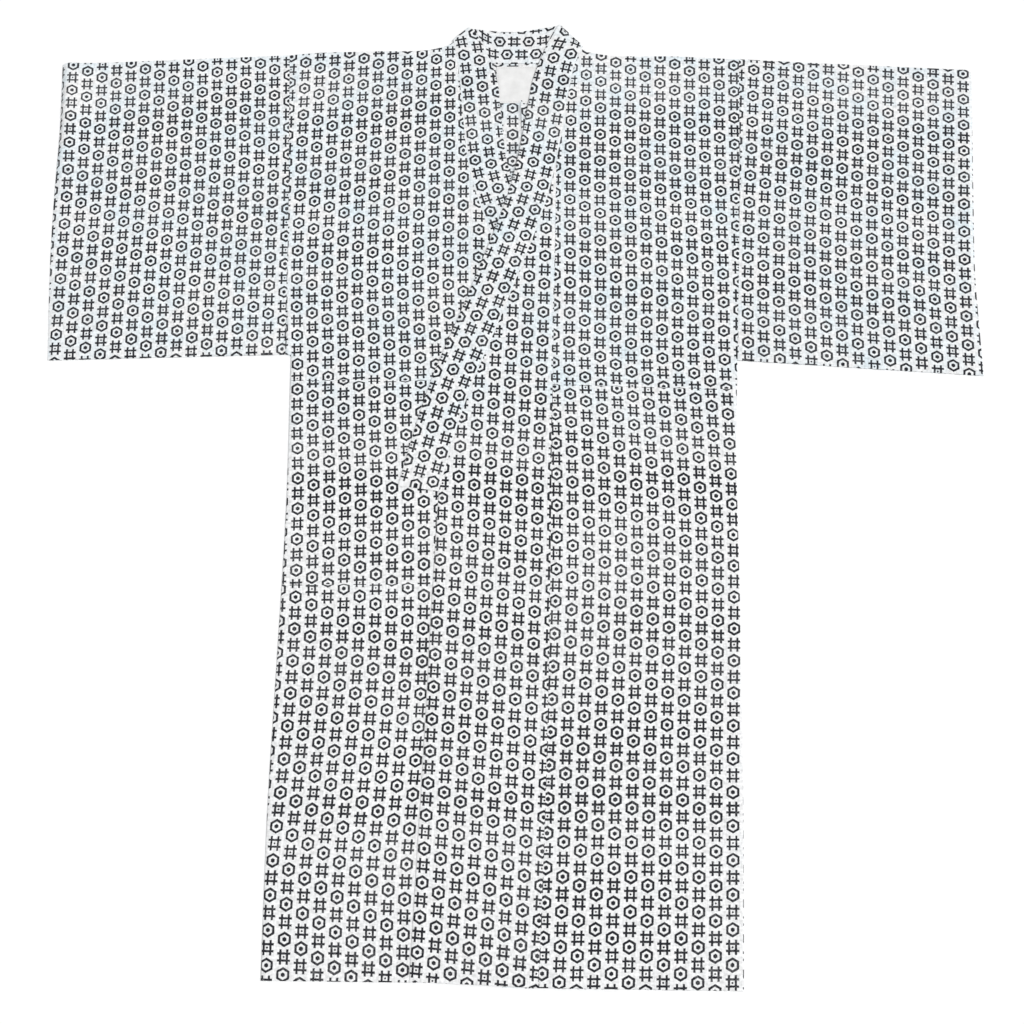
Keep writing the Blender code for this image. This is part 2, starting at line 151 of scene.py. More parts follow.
# Relief of the cloth, and along seams, hems and folds
VALLEY_WIDTH = 0.0016
PUCKER_LENGTHS = (0.0130, 0.0210, 0.0370)
PUCKER_REACH = 0.009
PUCKER_START = 0.0015
RIPPLE_LENGTHS = np.geomspace(0.024, 0.090, 14)
DOUBLED_STEP = 0.0022
TUCK_STEP = 0.0012
TUCK_FADE = 0.014
CUFF_ROLL = 0.0095
SIDE_ROLL = 0.006
HEM_ROLL = 0.005
OKUMI_ROLL = 0.004
HALF_EDGE = 0.00005
LAYER_SLACK = 0.0001
HEM_SLACK = 0.0002
OKUMI_SLACK = 0.0003
SIDE_SEAM_OVERLAP = 0.004
SIDE_SEAM_RUN = 0.010

# Shares of the rise where the cloth is doubled
HEM_SHARE = 1.4
CENTRE_SEAM_SHARE = 1.3
FREE_EDGE_SHARE = 1.2
FOLDED_EDGE_SHARE = 0.8

# The part of the back that the open neck shows
OPEN_HALF_WIDTH = 0.070
OPEN_SIDE_RUN = 0.030
OPEN_LOW_END = 0.40
OPEN_LOW_RUN = 0.05

# The label's cloth and its stitches
LABEL_CLOTH = 0.0004
LABEL_LIFT = 0.0004
LABEL_CROWN = 0.0006
LABEL_SAG = 0.0009
LABEL_CROWN_RUN = 0.010
LABEL_WAVE = (0.0075, 0.0160)
STITCH_MARGIN = 0.0022
STITCH_SPACING = 0.0036
STITCH_SCATTER = 0.00025
STITCH_DRIFT = 0.08
STITCH_TURN = 0.10
STITCH_RINGS = 7
STITCH_SIDES = 6
STITCH_POINT = 0.02

# Starts of the random draws
RIPPLE_SEED = 11
SIDE_SEED = 3
CENTRE_SEED = 5
FRONT_SEED = 7
OKUMI_COLLAR_SEED = 21
SLEEVE_BOTTOM_SEED = 31
COLLAR_SEED = 41
STITCH_SEED = 17

# The lamp's direction, and the place that the camera looks at
LAMP_FROM = (0.50, -0.10, 1.0)
CAMERA_TARGET = (-0.0075, -0.0665, 0.0)

# Edges and seams: the place across the robe (x) at each height along it (y)
Edge = namedtuple("Edge", "y x")

# Lines that run across the robe: the height (y) at each place across (x)
Line = namedtuple("Line", "x y")

# Straight lines across: the heights of their two ends, nearer the robe's middle and further out
Ends = namedtuple("Ends", "inner outer")

# A fold of the collar, from its seam to its free edge
Corner = namedtuple("Corner", "seam free")

# A small fold across a front that takes up some of the print, deeper at its outer end or even
Tuck = namedtuple("Tuck", "outer inner lost_outer lost_inner lift")

# How the print's rows lean, as their rise per metre across at each height
Lean = namedtuple("Lean", "y rise")

# The print's columns: how far apart they are, and where one of them stands
Columns = namedtuple("Columns", "pitch line")
Half = namedtuple(
    "Half",
    "name outward side armhole okumi_seam collar_seam front_edge shoulder cuff"
    " hem okumi_hem sleeve_top sleeve_bottom corner tucks"
    " body_lean sleeve_lean body_columns okumi_columns sleeve_columns",
)


def rows_of(kind, *values):
    """Rows of one kind, from the values of their columns."""
    return tuple(kind(*each) for each in values)


LEFT = Half(
    name="left",
    outward=1,
    side=rows_of(Edge, (-0.716, 0.296), (-0.560, 0.302), (-0.190, 0.311), (0.040, 0.315),
        (0.162, 0.321)),
    armhole=rows_of(Edge, (0.162, 0.321), (0.420, 0.334), (0.656, 0.342)),
    okumi_seam=rows_of(Edge, (-0.713, 0.027), (-0.510, 0.036), (-0.220, 0.045), (0.060, 0.050),
        (0.273, 0.055), (0.500, 0.060)),
    collar_seam=rows_of(Edge, (-0.037, -0.112), (0.100, -0.074), (0.250, -0.016), (0.440, 0.050),
        (0.540, 0.070), (0.609, 0.081), (0.645, 0.089), (0.676, 0.101)),
    front_edge=rows_of(Edge, (-0.706, -0.143), (-0.536, -0.135), (-0.348, -0.126), (-0.190, -0.120),
        (-0.037, -0.112)),
    shoulder=rows_of(Line, (0.101, 0.671), (0.108, 0.667), (0.124, 0.663), (0.242, 0.659),
        (0.342, 0.654)),
    cuff=rows_of(Edge, (0.136, 0.678), (0.321, 0.679), (0.402, 0.684), (0.636, 0.699)),
    hem=Ends(-0.712, -0.716),
    okumi_hem=Ends(-0.704, -0.712),
    sleeve_top=Ends(0.654, 0.635),
    sleeve_bottom=Ends(0.162, 0.138),
    corner=Corner(Line(0.101, 0.676), Line(0.065, 0.714)),
    tucks=(
        Tuck(Line(0.320, 0.117), Line(0.051, 0.123), 0.0060, 0.0060, 0.0006),
    ),
    body_lean=rows_of(Lean, (-0.630, -0.002), (-0.410, -0.009), (-0.310, -0.010), (-0.220, -0.018),
        (-0.100, -0.030), (0.020, -0.046), (0.215, -0.020), (0.360, -0.050), (0.440, -0.035),
        (0.540, -0.026)),
    sleeve_lean=rows_of(Lean, (0.150, -0.082), (0.400, -0.082), (0.640, -0.092)),
    body_columns=Columns(0.0227, rows_of(Edge, (-0.720, 0.235), (-0.560, 0.242), (-0.450, 0.246),
        (-0.340, 0.251), (-0.230, 0.256), (-0.120, 0.2595), (-0.020, 0.260), (0.060, 0.259),
        (0.180, 0.257), (0.260, 0.259), (0.450, 0.261), (0.550, 0.263), (0.690, 0.267))),
    okumi_columns=Columns(0.0226, rows_of(Edge, (-0.720, -0.090), (-0.560, -0.081), (-0.450, -0.076),
        (-0.340, -0.071), (-0.230, -0.067), (-0.120, -0.063), (-0.020, -0.061), (0.060, -0.058),
        (0.460, -0.044))),
    sleeve_columns=Columns(0.0230, rows_of(Edge, (0.120, 0.611), (0.280, 0.616), (0.400, 0.623),
        (0.500, 0.6305), (0.660, 0.6415))),
)
RIGHT = Half(
    name="right",
    outward=-1,
    side=rows_of(Edge, (-0.706, -0.337), (-0.470, -0.337), (-0.300, -0.333), (-0.050, -0.328),
        (0.171, -0.330)),
    armhole=rows_of(Edge, (0.171, -0.338), (0.340, -0.341), (0.662, -0.350)),
    okumi_seam=rows_of(Edge, (-0.708, -0.067), (0.280, -0.068), (0.500, -0.071)),
    collar_seam=rows_of(Edge, (-0.037, 0.104), (0.100, 0.066), (0.250, 0.005), (0.370, -0.042),
        (0.470, -0.072), (0.554, -0.082), (0.622, -0.088), (0.655, -0.092), (0.687, -0.098)),
    front_edge=rows_of(Edge, (-0.706, 0.101), (-0.037, 0.104)),
    shoulder=rows_of(Line, (-0.350, 0.661), (-0.320, 0.664), (-0.219, 0.668), (-0.124, 0.672),
        (-0.106, 0.678), (-0.098, 0.683)),
    cuff=rows_of(Edge, (0.160, -0.684), (0.331, -0.693), (0.430, -0.695), (0.532, -0.695),
        (0.646, -0.699)),
    hem=Ends(-0.706, -0.703),
    okumi_hem=Ends(-0.704, -0.706),
    sleeve_top=Ends(0.661, 0.645),
    sleeve_bottom=Ends(0.171, 0.162),
    corner=Corner(Line(-0.098, 0.687), Line(-0.073, 0.709)),
    tucks=(
        Tuck(Line(-0.330, 0.130), Line(-0.080, 0.130), 0.0060, 0.0060, 0.0006),
        Tuck(Line(-0.330, -0.172), Line(-0.110, -0.172), 0.0070, 0.0010, 0.0004),
    ),
    body_lean=rows_of(Lean, (-0.630, -0.033), (-0.540, -0.026), (-0.410, -0.010), (-0.270, -0.003),
        (-0.100, 0.026), (0.020, 0.029), (0.250, 0.029), (0.440, 0.050), (0.550, 0.052)),
    sleeve_lean=rows_of(Lean, (0.170, 0.032), (0.400, 0.042), (0.640, 0.053)),
    body_columns=Columns(0.0224, rows_of(Edge, (-0.720, -0.286), (-0.560, -0.283), (-0.450, -0.275),
        (-0.340, -0.268), (-0.230, -0.265), (-0.120, -0.266), (-0.020, -0.268), (0.060, -0.272),
        (0.180, -0.276), (0.260, -0.280), (0.450, -0.281), (0.690, -0.280))),
    okumi_columns=Columns(0.0224, rows_of(Edge, (-0.720, -0.057), (0.460, -0.057))),
    sleeve_columns=Columns(0.0221, rows_of(Edge, (0.140, -0.630), (0.300, -0.631), (0.500, -0.633),
        (0.660, -0.638))),
)
HALVES = (LEFT, RIGHT)

CENTRE_BACK = rows_of(Edge, (-0.712, -0.020), (0.300, 0.001), (0.560, 0.006), (0.650, 0.002))
NECKLINE = rows_of(Line, (-0.098, 0.687), (-0.073, 0.665), (-0.043, 0.650), (-0.003, 0.648),
    (0.039, 0.650), (0.073, 0.658), (0.101, 0.676))
COLLAR_BACK_EDGE = rows_of(Line, (-0.073, 0.709), (-0.009, 0.703), (0.065, 0.714))
OKUMI_LEAN = rows_of(Lean, (-0.620, -0.100), (-0.500, -0.090), (-0.390, -0.060), (-0.200, -0.055),
    (0.000, -0.055))

# Air under the cloth: long soft mounds, turned in degrees
Swell = namedtuple("Swell", "x y along across turn height")
SWELLS = (
    Swell(-0.225, -0.420, 0.260, 0.055, 86, 0.0030),
    Swell(-0.200, 0.060, 0.160, 0.060, 100, 0.0024),
    Swell(-0.190, 0.400, 0.150, 0.055, 70, 0.0026),
    Swell(0.180, -0.500, 0.240, 0.060, 94, 0.0030),
    Swell(0.215, -0.130, 0.180, 0.055, 82, 0.0026),
    Swell(0.205, 0.330, 0.160, 0.060, 108, 0.0028),
    Swell(-0.040, -0.560, 0.170, 0.070, 88, 0.0022),
    Swell(-0.020, -0.220, 0.190, 0.070, 95, 0.0018),
    Swell(-0.500, 0.520, 0.140, 0.050, 12, 0.0028),
    Swell(-0.560, 0.300, 0.120, 0.055, 74, 0.0030),
    Swell(-0.430, 0.270, 0.110, 0.050, 110, 0.0022),
    Swell(0.500, 0.500, 0.130, 0.050, 166, 0.0028),
    Swell(0.570, 0.290, 0.120, 0.055, 100, 0.0030),
    Swell(0.420, 0.250, 0.110, 0.050, 70, 0.0022),
    Swell(-0.690, 0.560, 0.090, 0.030, 90, 0.0070),
    Swell(0.685, 0.420, 0.130, 0.030, 92, 0.0036),
)

# Creases: each a soft ridge (height above 0) or trough (below), bowed to one side, turned in degrees
Crease = namedtuple("Crease", "x y length width turn bow height")
CREASES = (
    Crease(-0.262, 0.215, 0.150, 0.0060, 128, 0.010, 0.0007),
    Crease(-0.300, 0.150, 0.110, 0.0050, 150, 0.006, -0.0006),
    Crease(-0.240, 0.020, 0.120, 0.0070, 171, -0.008, 0.0005),
    Crease(-0.185, -0.060, 0.090, 0.0060, 24, 0.005, -0.0004),
    Crease(-0.275, -0.300, 0.130, 0.0080, 96, 0.006, 0.0005),
    Crease(-0.205, -0.520, 0.170, 0.0090, 84, -0.007, -0.0005),
    Crease(-0.120, -0.620, 0.110, 0.0070, 78, 0.004, 0.0005),
    Crease(0.262, 0.190, 0.140, 0.0060, 52, -0.009, 0.0007),
    Crease(0.288, 0.135, 0.100, 0.0050, 33, -0.005, -0.0005),
    Crease(0.200, -0.020, 0.130, 0.0070, 12, 0.008, 0.0005),
    Crease(0.130, -0.090, 0.100, 0.0060, 160, -0.006, -0.0004),
    Crease(0.240, -0.360, 0.150, 0.0080, 88, 0.008, 0.0006),
    Crease(0.160, -0.610, 0.120, 0.0070, 97, -0.005, -0.0004),
    Crease(-0.060, -0.380, 0.140, 0.0080, 92, 0.006, 0.0005),
    Crease(-0.010, -0.120, 0.110, 0.0070, 68, -0.005, -0.0004),
    Crease(-0.100, -0.600, 0.090, 0.0060, 112, 0.004, 0.0004),
    Crease(-0.395, 0.560, 0.120, 0.0070, 158, 0.006, 0.0006),
    Crease(-0.420, 0.420, 0.150, 0.0080, 137, -0.009, -0.0005),
    Crease(-0.560, 0.470, 0.170, 0.0080, 102, 0.010, 0.0006),
    Crease(-0.620, 0.260, 0.130, 0.0070, 72, -0.007, -0.0005),
    Crease(-0.480, 0.220, 0.100, 0.0060, 24, 0.005, 0.0005),
    Crease(-0.3345, 0.205, 0.070, 0.0035, 90, 0.000, 0.0030),
    Crease(0.398, 0.545, 0.130, 0.0070, 26, -0.006, 0.0006),
    Crease(0.430, 0.400, 0.150, 0.0080, 48, 0.009, -0.0005),
    Crease(0.545, 0.450, 0.180, 0.0080, 80, -0.010, 0.0006),
    Crease(0.625, 0.270, 0.120, 0.0070, 104, 0.006, -0.0005),
    Crease(0.470, 0.215, 0.100, 0.0060, 152, -0.004, 0.0005),
    Crease(-0.210, 0.560, 0.110, 0.0070, 98, 0.006, 0.0004),
    Crease(0.215, 0.540, 0.120, 0.0070, 84, -0.006, 0.0004),
)
NECK_PUCKER = (Crease(0.0082, 0.560, 0.050, 0.0024, 93, 0.001, 0.0042),)


# Settings that a user would change

def number_setting(name, description, default, **kind):
    """A number that a user may change, with its limits and its kind."""
    return FloatProperty(name=name, description=description, default=default, **kind)


def size_setting(name, description, default, **limits):
    """A length that a user may change."""
    return number_setting(name, description, default, unit="LENGTH", **limits)


def colour_setting(name, description, *channels):
    """A colour that a user may change."""
    return FloatVectorProperty(
        name=name, description=description, subtype="COLOR", size=4, default=(*channels, 1.0),
    )


class ClothSettings(PropertyGroup):
    """Sizes of the cloth and of its sewing."""

    wall: size_setting("Cloth wall", "How thick each layer of cloth is", 0.0006, min=0.0002, max=0.0009)
    ripple: size_setting(
        "Ripple", "How high the cloth's gentle unevenness is", 0.00016, min=0.0, max=0.0005,
    )
    crease: number_setting(
        "Creases", "How strong the placed creases are, as a share of their own heights", 1.0,
        min=0.0, max=1.5, subtype="FACTOR",
    )
    seam_depth: size_setting(
        "Seam depth", "How far the cloth sinks along a seam", 0.00022, min=0.0, max=0.0006,
    )
    allowance: size_setting(
        "Seam allowance", "How wide the cloth is doubled along seams and hems", 0.012, min=0.004, max=0.030,
    )
    allowance_rise: size_setting(
        "Allowance rise", "How much the doubled cloth along seams and hems stands up", 0.0003,
        min=0.0, max=0.0006,
    )
    pucker: size_setting(
        "Seam pucker", "How high the small puckers along the seams are", 0.00016, min=0.0, max=0.0004,
    )


class PrintSettings(PropertyGroup):
    """Sizes and colours of the print and of the cotton."""

    pitch: size_setting(
        "Pitch", "Size of the square that one motif fills", PRINT_PITCH, min=0.010, max=0.060,
    )
    hexagon: size_setting(
        "Hexagon", "From the middle of the hexagon motif to the middle of its line", HEXAGON,
    )
    crib: size_setting(
        "Well crib", "From the middle of the crossed-bar motif to the middle of each bar", CRIB,
    )
    line: size_setting("Line", "How wide the printed lines are", PRINT_LINE)
    ground: colour_setting("Ground", "Colour of the bare cotton", 0.883, 0.884, 0.888)
    cool_ground: colour_setting(
        "Cool ground", "Colour of the cotton's faintly cooler patches", 0.760, 0.850, 0.900,
    )
    ink: colour_setting("Ink", "Colour of the print", 0.012, 0.013, 0.018)
    label: colour_setting("Label", "Colour of the neck label", 0.850, 0.850, 0.846)
    thread: colour_setting("Thread", "Colour of the sewing thread", 0.640, 0.640, 0.650)


class StageSettings(PropertyGroup):
    """The floor, the light and the camera."""

    floor: colour_setting("Floor", "Colour of the floor", 0.940, 0.942, 0.945)
    sky: number_setting("Room light", "Strength of the light from all sides", 0.42)
    lamp: number_setting("Overhead light", "Strength of the broad light from above", 2.40)
    lamp_spread: number_setting(
        "Light spread", "How wide the overhead light is, seen from the robe",
        np.radians(40.0), subtype="ANGLE",
    )
    distance: size_setting("Camera distance", "From the camera to the middle of the robe", 2.164)
    tilt: number_setting(
        "Camera tilt", "How far the camera leans from straight down, towards the hem's side",
        np.radians(15.0), subtype="ANGLE",
    )
    lens: number_setting("Lens", "Focal length on a 36 mm sensor, in millimetres", 53.6)


# Curves and blends

def smooth_curve(table, at):
    """The second column at each value of the first, on a smooth curve through the table's rows."""
    known, values = np.array(table).T
    at = np.clip(at, known[0], known[-1])
    slopes = np.gradient(values, known)
    row = np.clip(np.searchsorted(known, at) - 1, 0, len(known) - 2)
    span = known[row + 1] - known[row]
    t = (at - known[row]) / span
    start = (2 * t**3 - 3 * t**2 + 1) * values[row] + (t**3 - 2 * t**2 + t) * span * slopes[row]
    end = (3 * t**2 - 2 * t**3) * values[row + 1] + (t**3 - t**2) * span * slopes[row + 1]
    return start + end


def ease(share):
    """0 to 1, level at both ends."""
    share = np.clip(share, 0, 1)
    return share * share * (3 - 2 * share)


def fall(distance, run):
    """1 up to distance 0, then down to 0 at the end of the run."""
    return 1 - ease(distance / run)


def rounded(distance, run):
    """0 at distance 0, rising like a quarter circle to 1 at the end of the run."""
    return np.sqrt(1 - (1 - np.clip(distance / run, 0, 1)) ** 2)


def sloped(distance, run):
    """0 at distance 0, rising like a quarter of a sine wave to 1 at the end of the run."""
    return np.sin(np.pi / 2 * np.clip(distance / run, 0, 1))


def between(start, end, share):
    return start + (end - start) * share


def graded(start, end, marks, coarse=STEP, fine=EDGE_STEP, reach=EDGE_REACH):
    """Values from start to end, a coarse step apart, closing up to a fine step near each mark.

    The count of steps grows along the line by one over the step wanted there, and whole counts are
    looked up on it.
    """
    samples = 4000
    sample = np.linspace(start, end, samples)
    nearness = np.zeros(sample.shape)
    for mark in marks:
        nearness = np.maximum(nearness, np.exp(-(((sample - mark) / reach) ** 2)))
    density = 1 / between(coarse, fine, nearness)
    count = np.concatenate([[0], np.cumsum((density[1:] + density[:-1]) / 2 * np.abs(np.diff(sample)))])
    steps = max(1, int(round(count[-1])))
    return np.interp(np.linspace(0, count[-1], steps + 1), count, sample)


# Heights of the layers

def swell_height(x, y):
    """The air under the front at each point, from the table of swells."""
    height = np.zeros(np.broadcast(x, y).shape)
    for swell in SWELLS:
        turn = np.radians(swell.turn)
        along = (x - swell.x) * np.cos(turn) + (y - swell.y) * np.sin(turn)
        across = (y - swell.y) * np.cos(turn) - (x - swell.x) * np.sin(turn)
        height = height + swell.height * np.exp(-((along / swell.along) ** 2 + (across / swell.across) ** 2))
    return height


def neck_rise(x, y):
    """What the label and the back stretch of the collar lift the fronts by."""
    along = ease((y - NECK_RISE_START) / NECK_RISE_RUN)
    across = fall(np.abs(x) - NECK_HALF_WIDTH, NECK_RISE_RUN)
    return (SOLID_CLOTH + LAYER_GAP) * along * across


def right_level(x, y):
    """Underside of the right front and of both sleeves' fronts."""
    return SOLID_CLOTH + LAYER_GAP + neck_rise(x, y) + swell_height(x, y)


def right_collar_free(y):
    """The free edge of the right collar, as the place across at each height."""
    return smooth_curve(RIGHT.collar_seam, y) + COLLAR_WIDTH * COLLAR_SLANT


def covers_right_front(x, y):
    """1 over the right front, falling to 0 beyond its free edge."""
    okumi_edge = smooth_curve(RIGHT.front_edge, y)
    beside_collar = fall(COLLAR_END - COVER_MARGIN - y, COLLAR_END_RUN)
    edge = between(okumi_edge, right_collar_free(y), beside_collar)
    return fall(x - edge - COVER_MARGIN, COVER_RUN)


def covers_right_collar(x, y):
    """1 over the right collar, falling to 0 beyond its two edges and its end."""
    beyond_free_edge = fall(x - right_collar_free(y) - COVER_MARGIN, COVER_RUN)
    beyond_seam = fall(smooth_curve(RIGHT.collar_seam, y) - x - COVER_MARGIN, COVER_RUN)
    beyond_end = fall(COLLAR_END - COVER_MARGIN - y, COVER_RUN)
    return beyond_free_edge * beyond_seam * beyond_end


def left_level(x, y):
    """Underside of the left front, which lies on the right front and on the right collar."""
    over_front = (SOLID_CLOTH + LAYER_GAP) * covers_right_front(x, y)
    over_collar = (SOLID_COLLAR - SOLID_CLOTH) * covers_right_collar(x, y)
    return right_level(x, y) + over_front + over_collar


def front_level(half, x, y):
    """Underside of one half's front."""
    return left_level(x, y) if half is LEFT else right_level(x, y)


# Relief of the cloth

def ripple(x, y):
    """Gentle unevenness from -1 to 1: a mean of sine waves of set lengths, each in its own direction."""
    chance = np.random.default_rng(RIPPLE_SEED)
    total = np.zeros(np.broadcast(x, y).shape)
    for length in RIPPLE_LENGTHS:
        turn, phase = chance.uniform(0, 2 * np.pi, 2)
        total = total + np.sin(2 * np.pi / length * (x * np.cos(turn) + y * np.sin(turn)) + phase)
    return total / np.sqrt(len(RIPPLE_LENGTHS))


def crease_height(x, y, creases=CREASES):
    """Each crease is a bell across its width, bowed along a parabola and fading out at its ends."""
    height = np.zeros(np.broadcast(x, y).shape)
    for crease in creases:
        turn = np.radians(crease.turn)
        along = ((x - crease.x) * np.cos(turn) + (y - crease.y) * np.sin(turn)) / (crease.length / 2)
        across = (y - crease.y) * np.cos(turn) - (x - crease.x) * np.sin(turn)
        across = across - crease.bow * (1 - along**2)
        height = height + crease.height * np.exp(-((across / crease.width) ** 2) - along**4)
    return height


def shared_relief(cloth, x, y):
    """What every layer of the front has in common, so that the layers stay apart."""
    return cloth.ripple * ripple(x, y) + cloth.crease * crease_height(x, y)


def seam_relief(cloth, distance, along, seed):
    """A narrow valley on the seam, with small puckers that fade out beside it.

    The puckers are three sine waves along the seam, of uneven lengths, with phases from the seed.
    """
    valley = -cloth.seam_depth * np.exp(-((distance / VALLEY_WIDTH) ** 2))
    phases = np.random.default_rng(seed).uniform(0, 2 * np.pi, 3)
    waves = 0
    for length, phase in zip(PUCKER_LENGTHS, phases):
        waves = waves + np.sin(2 * np.pi * along / length + phase)
    fading = np.exp(-distance / PUCKER_REACH)
    return valley + cloth.pucker * waves * fading * (1 - np.exp(-distance / PUCKER_START))


def doubled(cloth, distance, share=1.0):
    """The cloth stands up a little where it is doubled, out to a soft step."""
    return share * cloth.allowance_rise * fall(distance - cloth.allowance, DOUBLED_STEP)


def tuck_distance(tuck, x):
    """Height of a tuck's line and the print that it takes up, at each place across."""
    share = np.clip((x - tuck.outer.x) / (tuck.inner.x - tuck.outer.x), 0, 1)
    line = between(tuck.outer.y, tuck.inner.y, share)
    lost = between(tuck.lost_outer, tuck.lost_inner, share)
    return line, lost


def tuck_relief(tucks, x, y):
    """Above each tuck's line the cloth lies over the rest: up in one step, then down slowly."""
    height = np.zeros(x.shape)
    for tuck in tucks:
        line, lost = tuck_distance(tuck, x)
        above = y - line
        step = ease(above / TUCK_STEP + 0.5) * np.exp(-np.clip(above, 0, None) / TUCK_FADE)
        height = height + tuck.lift * lost / tuck.lost_outer * step
    return height


def tuck_grain(tucks, x, y):
    """How much print the tucks below each point have taken up."""
    lost_print = np.zeros(x.shape)
    for tuck in tucks:
        line, lost = tuck_distance(tuck, x)
        lost_print = lost_print + lost * ease((y - line) / TUCK_STEP + 0.5)
    return lost_print


# Faces and meshes

def raised(x, y, z):
    """Points of a face, from its plan and its height."""
    return np.stack(np.broadcast_arrays(x, y, z), axis=-1)


def half_turn(x, y, underside, out_x, out_y, thickness):
    """Two faces of a wall that folds under: a half circle from the upper layer down to the lower.

    The upper layer's underside is at the given height, and the lower layer lies on the surface.
    """
    inside_radius = (underside - thickness) / 2
    centre = thickness + inside_radius
    angles = np.linspace(0, np.pi, TURN_STEPS + 1)[1:-1, None]
    faces = []
    for radius in (inside_radius, inside_radius + thickness):
        reach = radius * np.sin(angles)
        faces.append(raised(x + out_x * reach, y + out_y * reach, centre + radius * np.cos(angles)))
    return faces


def run_across(points):
    """Distance along each row of points from its first one."""
    steps = np.linalg.norm(np.diff(points, axis=1), axis=2)
    return np.concatenate([np.zeros((len(points), 1)), np.cumsum(steps, axis=1)], axis=1)


def run_along(points):
    """Distance along each column of points from its first one."""
    return run_across(points.swapaxes(0, 1)).T


def closed_mesh(name, points, faces, material):
    """A smooth mesh of the points and faces, with its normals turned outwards."""
    mesh = bpy.data.meshes.new(name)
    mesh.from_pydata(points.reshape(-1, 3).tolist(), [], faces)
    built = bmesh.new()
    built.from_mesh(mesh)
    bmesh.ops.recalc_face_normals(built, faces=built.faces)
    built.to_mesh(mesh)
    built.free()
    mesh.shade_smooth()
    mesh.materials.append(material)
    return mesh


def new_object(name, shape):
    """An object of a mesh, lamp or camera, in the scene."""
    made = bpy.data.objects.new(name, shape)
    bpy.context.scene.collection.objects.link(made)
    return made


def wall(name, outer, inner, grain, material, wrong_inner=1.0):
    """One closed wall of cloth between two faces with the same grid, joined round their edges.

    Its UV map is the cloth's own grain in metres, and its attribute wrong_side is 0 on the outer face.
    """
    rows, columns = outer.shape[:2]
    number = np.arange(rows * columns).reshape(rows, columns)
    corners = [number[:-1, :-1], number[:-1, 1:], number[1:, 1:], number[1:, :-1]]
    face = np.stack(corners, axis=-1).reshape(-1, 4)
    rim = np.concatenate([number[0, :], number[1:, -1], number[-1, -2::-1], number[-2:0:-1, 0]])
    following = np.roll(rim, -1)
    behind = number.size
    sides = np.stack([rim, following, following + behind, rim + behind], axis=-1)
    faces = np.concatenate([face, face[:, ::-1] + behind, sides])
    points = np.concatenate([outer.reshape(-1, 3), inner.reshape(-1, 3)])
    mesh = closed_mesh(name, points, faces.tolist(), material)
    mesh.set_sharp_from_angle(angle=SHARP_ANGLE)

    corner_points = np.empty(len(mesh.loops), dtype=np.int32)
    mesh.loops.foreach_get("vertex_index", corner_points)
    places = grain.reshape(-1, 2)[corner_points % behind]
    mesh.uv_layers.new(name="Grain").data.foreach_set("uv", places.ravel())
    side = np.concatenate([np.zeros(behind), np.full(behind, wrong_inner)])
    mesh.attributes.new("wrong_side", "FLOAT", "POINT").data.foreach_set("value", side)
    piece = new_object(name, mesh)
    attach(piece, "root")
    return piece


# Body lengths

def body_side(half, y):
    """The body's outer edge: its side seam, then the armhole seam, which stands a little further out."""
    rounding = 1e-6
    below_armhole = y < half.armhole[0].y - rounding
    seam = np.where(below_armhole, smooth_curve(half.side, y), smooth_curve(half.armhole, y))
    return seam - half.outward * SEAM_GAP / 2


def body_front_edge(half, y):
    """Where a body length ends at the front: its okumi seam, then the collar's seam above the tip."""
    okumi_seam = smooth_curve(half.okumi_seam, y) * half.outward
    collar_seam = smooth_curve(half.collar_seam, y) * half.outward
    return (np.maximum(okumi_seam, collar_seam) + SEAM_GAP / 2) * half.outward


def okumi_tip(half):
    """The height at which the okumi seam runs out under the collar's seam."""
    lowest, highest, samples = 0.40, 0.50, 400
    heights = np.linspace(lowest, highest, samples)
    apart = np.abs(smooth_curve(half.okumi_seam, heights) - smooth_curve(half.collar_seam, heights))
    return heights[np.argmin(apart)]


def body_rows(half, outer_top, inner_top):
    """Rows of the front as shares of its height, close together at the hem, the tucks and the shoulder."""
    underarm = (half.armhole[0].y - half.hem.outer) / (outer_top - half.hem.outer)
    tip = (okumi_tip(half) - half.hem.inner) / (inner_top - half.hem.inner)
    marks = [0.0, underarm * BODY_LENGTH, BODY_LENGTH]
    for tuck in half.tucks:
        marks.append((tuck.outer.y - half.hem.outer) / (outer_top - half.hem.outer) * BODY_LENGTH)
        marks.append((tuck.inner.y - half.hem.inner) / (inner_top - half.hem.inner) * BODY_LENGTH)
    stops = np.array([0.0, underarm, tip, 1.0]) * BODY_LENGTH
    pieces = [graded(low, high, marks) for low, high in zip(stops[:-1], stops[1:])]
    return np.unique(np.concatenate(pieces)) / BODY_LENGTH


def body_relief(half, cloth, x, y):
    """Seams, hem and tucks of a body front."""
    to_side = np.abs(body_side(half, y) - x)
    to_front_edge = np.abs(x - body_front_edge(half, y))
    hem = between(half.hem.outer, half.hem.inner, (to_side / (to_side + to_front_edge)))
    to_hem = y - hem
    relief = seam_relief(cloth, to_side, y, SIDE_SEED + half.outward)
    relief = relief + seam_relief(cloth, to_front_edge, y, FRONT_SEED + half.outward)
    relief = relief + doubled(cloth, to_hem, HEM_SHARE) + doubled(cloth, to_side, FOLDED_EDGE_SHARE)
    return relief + tuck_relief(half.tucks, x, y)


